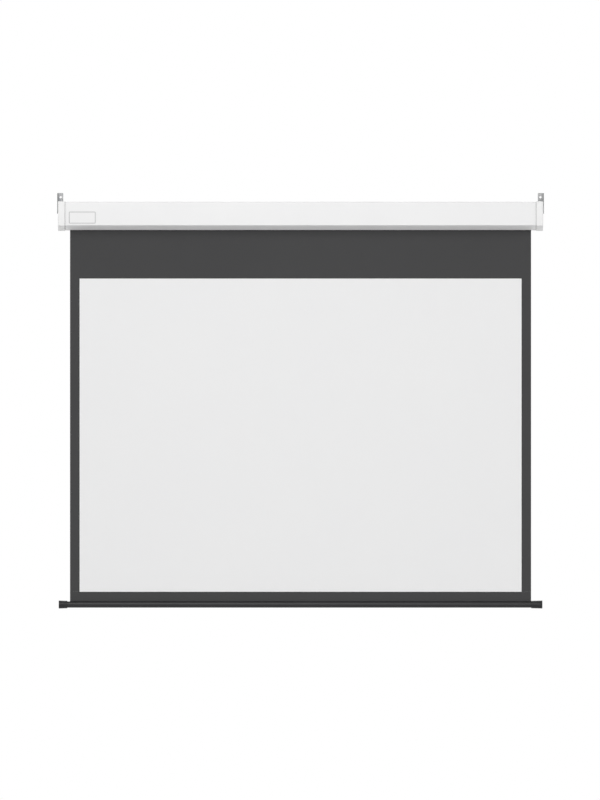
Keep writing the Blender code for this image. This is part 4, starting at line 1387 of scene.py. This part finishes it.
@dataclass
class RollerWorks:
    """What the case and the hem hold: plates, roller, spring, catch and hem rod."""

    paint: Paintbox
    tube_wall: float = 0.0012  # The roller tube's wall.
    bore_gap: float = 0.0003  # The gap between the tube's bore and the plugs in it.
    flange: float = 0.003  # The width of a plug's flange, outside the tube.
    pin_bore: float = 0.00415  # The radius of the idler plug's bore.
    rod_bore: float = 0.0047  # The radius of the bores that turn on the rod.
    collar_bore: float = 0.00465  # The radius of the bores that are fixed on the rod.
    run: float = 0.0002  # The clearance of a shank in a hole that it turns in.
    bush_bore: float = 0.0042  # The radius of the bush's bore.
    bush_barrel: float = 0.007  # The radius of the bush where it lies in its plate.
    bush_flange: float = 0.005  # The width of the bush's flange.
    pin_shank: float = 0.0013  # The radius of a pawl pin's shank.
    pin_head: float = 0.001  # The height of a pawl pin's head.
    tang: float = 0.003  # The thickness of the rod's flattened end.
    tang_length: float = 0.012  # The length of the rod's flattened end.
    plate_corner: float = 0.004  # The corner radius of a support plate.
    boss: float = 0.003  # The radius of a pawl's boss.
    pawl_half: float = 0.0015  # Half the width of a pawl's arm.
    nose: float = 0.00003  # How much the reach of the corners of a pawl's nose may differ.
    wire: float = 0.0012  # The radius of the spring's wire.
    turns: int = 24  # How many turns the spring has.
    closed: float = 1.5  # How many turns lie close together at each end of the spring.
    closed_pitch: float = 0.0026  # The distance between those turns.
    edge: float = 0.0003  # The rounding of turned edges.
    fine_edge: float = 0.00015  # The rounding of pressed and cut edges.
    steps: int = 80  # How many facets a turned piece has round its axis.
    turn_steps: int = 36  # How many rings a turn of the spring has.
    wire_steps: int = 12  # How many facets the spring's wire has.

    @property
    def tube(self) -> Extent:
        """The roller tube's box."""
        return Extent.of("roller_tube")

    @property
    def plug(self) -> float:
        """The radius of the plugs in the tube."""
        return self.tube.radius - self.tube_wall - self.bore_gap

    def build(self) -> None:
        """Make and dress every piece, from the idler end to the catch."""
        self._plates()
        self._roller()
        self._rod()
        self._spring()
        self._catch([self._pawl("a", Body.PAWL_A), self._pawl("b", Body.PAWL_B)])
        rod = Extent.of("hem_rod")
        shape = self._turned(self._plain(rod, rod.radius), rod)
        self._show(shape, "hem_wire", Body.BAR, Stock.STEEL, "hem_rod")

    def _show(
        self,
        shape: Shape,
        name: str,
        body: Body,
        stock: Stock,
        node: str,
        cuts: Sequence[Shape] = (),
    ) -> None:
        """Finish a piece, cut where that is asked, and let it stand for its node.

        Args:
            shape: Its shape.
            name: Its name.
            body: The body that it rides on.
            stock: What it is made of.
            node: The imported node.
            cuts: The shapes to cut from it.
        """
        made = into_object(shape, name)
        if cuts:
            carve(made, cuts)
            soften(made, self.fine_edge)
        self.paint.present(made, body, stock, node)

    def _turned(self, corners: Sequence[Point], axis: Extent | None = None) -> Shape:
        """A turned piece with rounded edges.

        Args:
            corners: Its profile's (x, radius) corners, from axis to axis or as a loop.
            axis: A box whose middle lies on its axis, where that isn't the tube.

        Returns:
            The solid, in its place.
        """
        radii = [self.edge] * len(corners)
        if corners[0][1] == 0.0:
            radii[0] = radii[-1] = 0.0
        profile = rounded(corners, radii, steps=3)
        return onto(turned(profile, self.steps), (axis or self.tube).centre)

    @staticmethod
    def _plain(box: Extent, outer: float, bore: float = 0.0) -> list[Point]:
        """The profile of a plain rod or ring over a box's length."""
        low, high = box.ends
        return [(low, bore), (low, outer), (high, outer), (high, bore)]

    @staticmethod
    def _stepped(box: Extent, step: float, first: float, last: float, bore: float) -> list[Point]:
        """The profile of a rod or ring with two radii, which change at a step."""
        low, high = box.ends
        return [(low, bore), (low, first), (step, first), (step, last), (high, last), (high, bore)]

    def _plates(self) -> None:
        """The two support plates, and the bush that the idler pin turns in."""
        y, z = self.tube.centre
        across, up = self.tang / 2.0 + self.run, Extent.of("spring_rod").radius + self.run
        slot = rectangle((y - across, z - up), (y + across, z + up), self.run, steps=3)
        seat = circle((y, z), self.bush_barrel + self.run, self.steps)
        openings = {Side.LEFT: ("idler_plate", seat), Side.RIGHT: ("rod_plate", slot)}
        for side, (node, opening) in openings.items():
            box = Extent.of(node)
            low, high = tuple(box.low.yz), tuple(box.high.yz)
            shape = prism(rectangle(low, high, self.plate_corner, steps=8), *box.ends)
            cuts = [prism(opening, *box.through)]
            for screw in (screw for head in Head for screw in head.nodes(side)):
                hole = circle(Extent.of(screw).centre, ScrewHead.shank_radius + self.run)
                cuts.append(prism(hole, *box.through))
            self._show(shape, f"pressed_plate_{side.word}", Body.HOUSING, Stock.ZINC, node, cuts)
        bush = Extent.of("idler_bush")
        step = bush.high.x - self.bush_flange
        corners = self._stepped(bush, step, self.bush_barrel, bush.radius, self.bush_bore)
        shape = self._turned(corners)
        self._show(shape, "flanged_bush", Body.HOUSING, Stock.NYLON, "idler_bush")

    def _roller(self) -> None:
        """The tube, its idler plug with the pin, and the plug that drives the spring."""
        tube, outer = self.tube, self.tube.radius
        idler, pin = Extent.of("idler_plug"), Extent.of("idler_pin")
        step = idler.low.x + self.flange
        wall = self._plain(tube, outer, outer - self.tube_wall)
        end_plug = self._stepped(idler, step, outer, self.plug, self.pin_bore)
        drive = self._plain(Extent.of("spring_drive_plug"), self.plug, self.rod_bore)
        for node, name, stock, corners in (
            ("roller_tube", "drawn_roller", Stock.ALUMINIUM, wall),
            ("idler_plug", "idler_end_plug", Stock.PLASTIC, end_plug),
            ("idler_pin", "plain_idler_pin", Stock.STEEL, self._plain(pin, pin.radius)),
            ("spring_drive_plug", "spring_driver", Stock.PLASTIC, drive),
        ):
            self._show(self._turned(corners), name, Body.ROLLER, stock, node)

    def _rod(self) -> None:
        """The fixed rod with its flattened end, and the collar that holds the spring."""
        box, collar = Extent.of("spring_rod"), Extent.of("spring_collar")
        y, z = self.tube.centre
        past = box.radius + CUT_MARGIN
        ends = (box.high.x - self.tang_length, box.high.x + CUT_MARGIN)
        cuts = []
        for face in (-1, 1):
            near, far = sorted((face * self.tang / 2.0, face * past))
            cuts.append(prism(rectangle((y + near, z - past), (y + far, z + past)), *ends))
        shape = self._turned(self._plain(box, box.radius))
        self._show(shape, "keyed_spring_rod", Body.HOUSING, Stock.STEEL, "spring_rod", cuts)
        shape = self._turned(self._plain(collar, collar.radius, self.collar_bore))
        self._show(shape, "spring_anchor", Body.HOUSING, Stock.STEEL, "spring_collar")

    def _spring(self) -> None:
        """The wound spring: open turns, with close ones at both ends."""
        node = "counterbalance_spring"
        box = Extent.of(node)
        section = circle((0.0, 0.0), self.wire, self.wire_steps)
        mean, low = box.radius - self.wire, box.low.x + self.wire
        length = box.size.x - 2.0 * self.wire
        most_open = self.turns - 2.0 * self.closed
        open_pitch = (length - 2.0 * self.closed * self.closed_pitch) / most_open
        rings = []
        for i in range(self.turns * self.turn_steps + 1):
            turn = i / self.turn_steps
            opened_turns = min(max(turn - self.closed, 0.0), most_open)
            x = low + (turn - opened_turns) * self.closed_pitch + opened_turns * open_pitch
            angle = 2.0 * math.pi * turn
            out = Vector((0.0, math.cos(angle), math.sin(angle)))
            middle = Vector((x, *self.tube.centre)) + mean * out
            rings.append([middle + a * out + b * Vector((1.0, 0.0, 0.0)) for a, b in section])
        self._show(loft(rings), "wound_spring", Body.HOUSING, Stock.STEEL, node)

    def _pawl(self, letter: str, body: Body) -> list[Point]:
        """One pawl on its headed pin.

        Args:
            letter: The pawl's letter.
            body: The pawl's body.

        Returns:
            The outline of the notch that it drops into.
        """
        node = f"pawl_{letter}"
        box, pin = Extent.of(node), Extent.of(f"pawl_pin_{letter}")
        pivot = Vector(pin.centre)
        held = frame["nodes"][node]
        arms = [Vector((held.matrix_world @ v.co).yz) - pivot for v in held.data.vertices]
        longest = max(arm.length for arm in arms)
        nose = [arm for arm in arms if arm.length > longest - self.nose]
        middle = sum(nose, Vector((0.0, 0.0))) / len(nose)
        reach, angle = middle.length, math.atan2(middle.y, middle.x)

        def placed(outline: Sequence[Point], turn: float) -> list[Point]:
            """An outline along the arm, turned on the pivot."""
            spin = Matrix.Rotation(turn, 2)
            return [tuple(pivot + spin @ Vector(point)) for point in outline]

        half = self.pawl_half
        neck = math.degrees(math.asin(half / self.boss))
        boss = arc((0.0, 0.0), self.boss, neck, 360.0 - neck, HOLE_STEPS)
        shape = prism(placed([(reach, -half), (reach, half), *boss], angle), *box.ends)
        hole = prism(circle(pin.centre, self.pin_shank + self.run), *box.through)
        self._show(shape, f"catch_pawl_{letter}", body, Stock.STEEL, node, [hole])
        head = pin.high.x - self.pin_head
        shape = self._turned(self._stepped(pin, head, self.pin_shank, pin.radius, bore=0.0), pin)
        name = f"headed_pawl_pin_{letter}"
        self._show(shape, name, Body.ROLLER, Stock.STEEL, f"pawl_pin_{letter}")
        swing = next(j for j in frame["joints"] if j["name"] == f"{node}_swing")["range_deg"][1]
        notch = rectangle((0.0, -half - SEAT_GAP), (reach + SEAT_GAP, half + SEAT_GAP))
        return placed(notch, angle + math.radians(swing))

    def _catch(self, notches: Sequence[Sequence[Point]]) -> None:
        """The notched collar on the rod, and the end plug that carries the pawls.

        Args:
            notches: The outlines of the collar's notches.
        """
        ratchet, box = Extent.of("ratchet_collar"), Extent.of("pawl_carrier")
        shape = self._turned(self._plain(ratchet, ratchet.size.y / 2.0, self.collar_bore))
        cuts = [prism(notch, *ratchet.through) for notch in notches]
        self._show(shape, "notched_ratchet", Body.HOUSING, Stock.STEEL, "ratchet_collar", cuts)
        step = box.high.x - self.flange
        shape = self._turned(self._stepped(box, step, self.plug, box.radius, self.rod_bore))
        ends = (step - SEAT_GAP, box.high.x + CUT_MARGIN)
        pins = [Extent.of(f"pawl_pin_{letter}").centre for letter in "ab"]
        cuts = [prism(circle(pin, self.pin_shank + self.run), *ends) for pin in pins]
        self._show(shape, "catch_end_plug", Body.ROLLER, Stock.PLASTIC, "pawl_carrier", cuts)


@dataclass(frozen=True)
class Wave:
    """One of the soft upright waves that a hanging sheet has."""

    strength: float  # Its depth, as a share of the sheet's waves.
    pace: float  # How many times closer it is than the sheet's waves.
    start: float  # Its phase at the sheet's middle, at the top.
    lean: float  # How much its phase grows down to the sheet's foot.


@dataclass
class ScreenCloth:
    """The fabric: the hanging sheet, its lower border with the hem, and the turns on the roller.

    The lower border rides on the bar, so that it keeps its height and closes the gap under the case when
    the screen is rolled up.
    """

    paint: Paintbox
    lip: float  # The height of the case's slot.
    picture_width: float = 1.460  # The white picture's width.
    black_drop: float = 0.1595  # The black above the picture, from the case's lip.
    lower_border: float = 0.0314  # The black below the picture, down to the bar.
    thickness: float = 0.00045  # The cloth's thickness.
    hem_rod_gap: float = 0.00015  # The pocket's clearance on its rod.
    neck_past_round: float = 0.0011  # How far the pocket's neck lies over its round.
    tail_short_of_neck: float = 0.0012  # Where the hem's tail ends, from the neck.
    wave: float = 0.0006  # The depth of the sheet's soft upright waves.
    wave_length: float = 0.36  # The distance between them.
    # The waves that make them up.
    waves: tuple[Wave, ...] = (Wave(1.0, 1.0, 0.7, 1.3), Wave(0.5, 1.7, 2.1, 0.0))
    curl: float = 0.0012  # How far the side edges curl towards the viewer.
    curl_width: float = 0.05  # The width of the edge that curls.
    columns: int = 96  # The picture's faces from side to side.
    rows: int = 72  # The picture's faces from top to bottom.
    side_columns: int = 4  # A side border's faces from side to side.
    drop_rows: int = 12  # The upper border's faces from top to bottom.
    border_rows: int = 6  # The lower border's faces from top to bottom.
    split_gap: float = 0.00005  # The gap between the sheet and its lower border.
    turn_end: float = 345.0  # Where the outer turn on the roller ends, in degrees.
    step: float = 15.0  # The width of the step between the two turns, in degrees.
    turn_steps: int = 48  # How many chords a turn has.
    pressed: float = 0.9  # The thickness of the cloth on the roller, as a share.

    @property
    def box(self) -> Extent:
        """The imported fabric's box."""
        return Extent.of("screen_fabric")

    @property
    def rod(self) -> Extent:
        """The box of the rod in the hem."""
        return Extent.of("hem_rod")

    @property
    def mouth(self) -> float:
        """The height of the bar's top."""
        return Extent.of("weight_bar").high.z

    @property
    def split(self) -> float:
        """The height of the picture's lower edge, where the lower border begins."""
        return self.mouth + self.lower_border

    def build(self) -> None:
        """Make the three pieces of cloth, and give the hanging sheet a mesh of its own."""
        box = self.box
        hanging = self._sheet()
        hem = self._hem()
        rolled = self._turns()
        length = box.high.z - self.split
        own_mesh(hanging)

    @staticmethod
    def _places(start: float, end: float, parts: int) -> list[float]:
        """Evenly spaced places from a start, without the end."""
        return [start + (end - start) * i / parts for i in range(parts)]

    def _sheet(self) -> Piece:
        """The hanging sheet, white in its picture and black round it and behind.

        Returns:
            The sheet.
        """
        picture_top = self.lip - self.black_drop
        half, edge = self.picture_width / 2.0, self.box.size.x / 2.0
        across = self._places(-edge, -half, self.side_columns)
        across += self._places(-half, half, self.columns)
        across += [*self._places(half, edge, self.side_columns), edge]
        top, low = self.box.high.z, self.split + self.split_gap
        heights = self._places(top, picture_top, self.drop_rows)
        heights += [*self._places(picture_top, low, self.rows), low]
        shape = ribbon([(self.rod.centre[0], z) for z in heights], across, self.thickness)
        for face in shape.faces:
            centre = face.calc_center_median()
            white = abs(centre.x) < half and centre.z < picture_top
            front = face.normal.y < -FACING
            face.material_index = (0 if white else 1) if front else 2
        for vert in shape.verts:
            vert.co.y += self._wave_at(vert.co.x, (top - vert.co.z) / (top - low), edge)
        bmesh.ops.recalc_face_normals(shape, faces=shape.faces)
        made = into_object(shape, "hanging_cloth")
        return self.paint.present(made, Body.HOUSING, Stock.SHEET, "screen_fabric")

    def _wave_at(self, x: float, share: float, edge: float) -> float:
        """How far the sheet stands off its plane at a place.

        Args:
            x: The place across.
            share: How far down the sheet the place is, from 0 to 1.
            edge: Half the sheet's width.

        Returns:
            The distance, towards the wall.
        """
        free = math.sin(math.pi * min(max(share, 0.0), 1.0)) ** 2
        phase = 2.0 * math.pi * x / self.wave_length
        soft = sum(
            wave.strength * math.sin(wave.pace * phase + wave.start + wave.lean * share)
            for wave in self.waves
        )
        near_edge = max(0.0, 1.0 - (edge - abs(x)) / self.curl_width)
        return free * (self.wave * soft - self.curl * near_edge**2)

    def _hem(self) -> Piece:
        """The lower border, and under it the pocket that holds the rod inside the bar.

        Returns:
            The border and the pocket, in one piece.
        """
        y, z = self.rod.centre
        radius = self.rod.radius + self.hem_rod_gap + self.thickness / 2.0
        neck = Vector((y, z + radius + self.neck_past_round))
        shoulder = math.degrees(math.asin(radius / (radius + self.neck_past_round)))
        round_part = arc((y, z), radius, shoulder, -180.0 - shoulder, HOLE_STEPS)
        back = (Vector(round_part[-1]) - neck).normalized() * self.tail_short_of_neck
        border = self._places(self.split, self.mouth, self.border_rows)
        path = [(y, height) for height in (*border, self.mouth)]
        path += [tuple(neck), *round_part, tuple(neck + back)]
        made = into_object(ribbon(path, self.box.ends, self.thickness), "lower_border_and_hem")
        return self.paint.present(made, Body.BAR, Stock.HEM)

    def _turns(self) -> Piece:
        """The two turns that stay on the roller, the outer one over the inner one's end.

        Returns:
            Both turns, in one piece.
        """
        wraps = Extent.of("fabric_wraps")
        outer = wraps.radius - self.thickness / 2.0
        inner = outer - self.thickness
        path = arc(wraps.centre, outer, 0.0, self.turn_end, self.turn_steps)
        ends = (self.turn_end + self.step, self.turn_end + 360.0)
        path += arc(wraps.centre, inner, *ends, self.turn_steps)
        made = into_object(ribbon(path, wraps.ends, self.pressed * self.thickness), "cloth_on_roller")
        return self.paint.present(made, Body.ROLLER, Stock.ROLLED, "fabric_wraps")


@dataclass
class WeightBar:
    """The slotted tube at the fabric's foot, and its two end caps."""

    paint: Paintbox
    wall: float = 0.0012  # The tube's wall.
    slot: float = 0.003  # The width of the slot in its top.
    cap_wall: float = 0.0019  # A cap's wall at its mouth.
    cap_gap: float = 0.00015  # A cap's clearance on the tube.
    cap_round: float = 0.0012  # The rounding of a cap's end.
    mouth_round: float = 0.0006  # The rounding of a cap's mouth.
    dish_radius: float = 0.0078  # The radius of the shallow dish in a cap's end.
    dish_depth: float = 0.0004  # The dish's depth.
    steps: int = 96  # How many facets the bar has round its axis.

    @property
    def box(self) -> Extent:
        """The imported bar's box."""
        return Extent.of("weight_bar")

    @property
    def radius(self) -> float:
        """The bar's outer radius."""
        return self.box.size.y / 2.0

    @property
    def axis(self) -> Point:
        """The place (y, z) of the bar's axis."""
        return (self.box.centre[0], self.box.high.z - self.radius)

    def build(self) -> None:
        """Make and dress the bar and both caps."""
        self._tube()
        for side in Side:
            self._cap(side)

    def _tube(self) -> None:
        """The slotted tube."""
        radius, inner = self.radius, self.radius - self.wall
        outer_half, inner_half = (
            math.degrees(math.asin(self.slot / 2.0 / round_at)) for round_at in (radius, inner)
        )
        outline = arc(self.axis, radius, 90.0 + outer_half, 450.0 - outer_half, self.steps)
        outline += arc(self.axis, inner, 450.0 - inner_half, 90.0 + inner_half, self.steps)
        made = into_object(prism(outline, *self.box.ends), "slotted_bar")
        self.paint.present(made, Body.BAR, Stock.BAR, "weight_bar")

    def _cap(self, side: Side) -> None:
        """One end cap, wider towards its end.

        Args:
            side: The end that it closes.
        """
        box = Extent.of(f"bar_cap_{side.word}")
        mouth, end = side.outwards(box)
        bore, seat = self.radius + self.cap_gap, self.box.high.x + SEAT_GAP
        dish = end - self.dish_depth
        corner = (end - self.cap_round, box.radius - self.cap_round)
        lip = (mouth + self.mouth_round, self.radius + self.cap_wall - self.mouth_round)
        profile = [
            (dish, 0.0),
            (dish, self.dish_radius - self.dish_depth),
            (end, self.dish_radius),
            *arc(corner, self.cap_round, 0.0, 90.0, steps=5),
            *arc(lip, self.mouth_round, 90.0, 180.0, steps=4),
            (mouth, bore),
            (seat, bore),
            (seat, 0.0),
        ]
        shape = onto(mirrored(turned(profile, self.steps), side), self.axis)
        made = into_object(shape, f"bar_end_{side.word}")
        self.paint.present(made, Body.BAR, Stock.PLASTIC, f"bar_cap_{side.word}")


@dataclass(frozen=True)
class Lamp:
    """A square soft lamp."""

    name: str  # Its name.
    place: tuple[float, float, float]  # Where it stands.
    power: float  # Its power, in watts.
    size: float = 4.0  # The length of its side.

    def build(self, target: Vector) -> None:
        """Put the lamp in the scene.

        Args:
            target: What it points at.
        """
        data = bpy.data.lights.new(self.name, "AREA")
        data.shape = "SQUARE"
        data.size = self.size
        data.energy = self.power
        made = linked(self.name, data)
        made.location = self.place
        made.rotation_euler = (target - Vector(self.place)).to_track_quat("-Z", "Y").to_euler()


@dataclass
class Studio:
    """The camera, the lamps, the white surroundings and the pale floor."""

    lip: float  # The height of the case's lip.
    pixel: float = 0.003305  # The size of one of the picture's pixels at the screen.
    picture_rows: int = 800  # The picture's height in pixels.
    picture_columns: int = 600  # The picture's width in pixels.
    middle_column: float = 300.56  # The column of the screen's middle.
    lip_row: float = 230.37  # The row of the case's lip.
    lens: float = 815.0  # The camera's focal length, in millimetres.
    sensor: float = 36.0  # The long side of the camera's sensor, in millimetres.
    nearest: float = 0.1  # Where the camera's sight begins, as a share of its distance.
    farthest: float = 5.0  # Where the camera's sight ends, as a share of its distance.
    lamps: tuple[Lamp, ...] = (
        Lamp("key", (-1.2, -6.0, 2.6), 190.0),
        Lamp("fill", (1.6, -5.6, -2.1), 115.0),
        Lamp("back", (0.5, 6.0, 3.0), 150.0),
    )
    floor_below: float = 0.9  # How far the floor lies under the bar.
    floor_radius: float = 40.0  # The floor's radius.
    floor_steps: int = 96  # How many chords the floor's edge has.
    floor_grey: float = 0.82  # The brightness of the floor's colour.
    floor_rough: float = 0.9  # The floor's roughness.
    shade_radius: float = 3.0  # Where the floor stops taking shadows.
    ambient: float = 0.5  # The strength of the surroundings' light.
    floor_glow: float = 0.4  # The floor's own white, as the camera sees it.

    def build(self) -> None:
        """Set up the whole studio."""
        bpy.context.scene.view_settings.view_transform = "Standard"
        self._camera()
        self._surroundings()
        self._floor()
        for lamp in self.lamps:
            lamp.build((CAD_LOW + CAD_HIGH) / 2.0)

    def _camera(self) -> None:
        """A long lens straight in front, framed as the photograph is."""
        distance = self.picture_rows * self.pixel * self.lens / self.sensor
        data = bpy.data.cameras.new("camera")
        data.lens = self.lens
        data.sensor_width = self.sensor
        data.clip_start = distance * self.nearest
        data.clip_end = distance * self.farthest
        made = linked("camera", data)
        x = (self.picture_columns / 2.0 - self.middle_column) * self.pixel
        z = self.lip + (self.lip_row - self.picture_rows / 2.0) * self.pixel
        made.location = (x, -distance, z)
        made.rotation_euler = (math.radians(90.0), 0.0, 0.0)
        bpy.context.scene.camera = made

    @staticmethod
    def _seen(graph: Graph) -> Socket:
        """A mask of the camera, glossy and transmission rays.

        Args:
            graph: The graph of a material or a world.

        Returns:
            1 for the rays that see the surroundings themselves, 0 for the others.
        """
        path = graph.node("ShaderNodeLightPath").outputs
        direct = graph.maths("MAXIMUM", path["Is Camera Ray"], path["Is Glossy Ray"])
        return graph.maths("MAXIMUM", direct, path["Is Transmission Ray"])

    def _surroundings(self) -> None:
        """A world that is seen as plain white and lights the object more softly."""
        world = bpy.data.worlds.new("white surroundings")
        bpy.context.scene.world = world
        world.use_nodes = True
        nodes = world.node_tree.nodes
        graph = Graph(world.node_tree)
        light = nodes["Background"]
        light.inputs["Color"].default_value = PLAIN_WHITE
        light.inputs["Strength"].default_value = self.ambient
        shown = graph.node("ShaderNodeBackground", {"Color": PLAIN_WHITE, "Strength": 1.0})
        either = graph.either(self._seen(graph), light, shown)
        graph.feed(nodes["World Output"].inputs["Surface"], either.outputs[0])

    def _floor(self) -> None:
        """A wide pale floor, plain white away from the screen and open from below."""
        shape = bmesh.new()
        ring = circle((0.0, 0.0), self.floor_radius, self.floor_steps)
        shape.faces.new([shape.verts.new((x, y, 0.0)) for x, y in ring])
        made = into_object(shape, "floor")
        made.location.z = CAD_LOW.z - self.floor_below
        material = bpy.data.materials.new("pale floor")
        material.use_nodes = True
        nodes = material.node_tree.nodes
        graph = Graph(material.node_tree)
        shader = nodes["Principled BSDF"]
        shader.inputs["Base Color"].default_value = (*[self.floor_grey] * 3, 1.0)
        shader.inputs["Roughness"].default_value = self.floor_rough
        shader.inputs["Specular IOR Level"].default_value = 0.0
        glow = graph.node("ShaderNodeEmission", {"Strength": self.floor_glow})
        lit = graph.node("ShaderNodeAddShader", {0: shader.outputs[0], 1: glow.outputs[0]})
        white = graph.node("ShaderNodeEmission", {"Strength": 1.0})
        place = graph.node("ShaderNodeTexCoord").outputs["Object"]
        reach = graph.node("ShaderNodeVectorMath", {0: place}, operation="LENGTH").outputs["Value"]
        away = graph.window(reach, self.shade_radius / 2.0, self.shade_radius)
        kind = graph.either(self._seen(graph), shader, graph.either(away, lit, white))
        back = graph.node("ShaderNodeNewGeometry").outputs["Backfacing"]
        under = graph.either(back, kind, graph.node("ShaderNodeBsdfTransparent"))
        graph.feed(nodes["Material Output"].inputs["Surface"], under.outputs[0])
        made.data.materials.append(material)


def main() -> None:
    """Build the studio, then each sub-assembly."""
    logging.basicConfig(level=logging.INFO, format="%(message)s")
    paint = Paintbox()
    section = CaseSection(Extent.of("case_shell"), -Extent.of("weight_bar").centre[0])
    lip = section.box.low.z
    Studio(lip).build()
    Case(section, paint).build()
    bracket, screw = HangingBracket(paint), ScrewHead(paint)
    for side in Side:
        bracket.build(side)
        for head in (Head.FLAT, Head.PAN):
            for node in head.nodes(side):
                screw.build(node, head, side)
    RollerWorks(paint).build()
    ScreenCloth(paint, lip).build()
    WeightBar(paint).build()


if __name__ == "__main__":
    main()
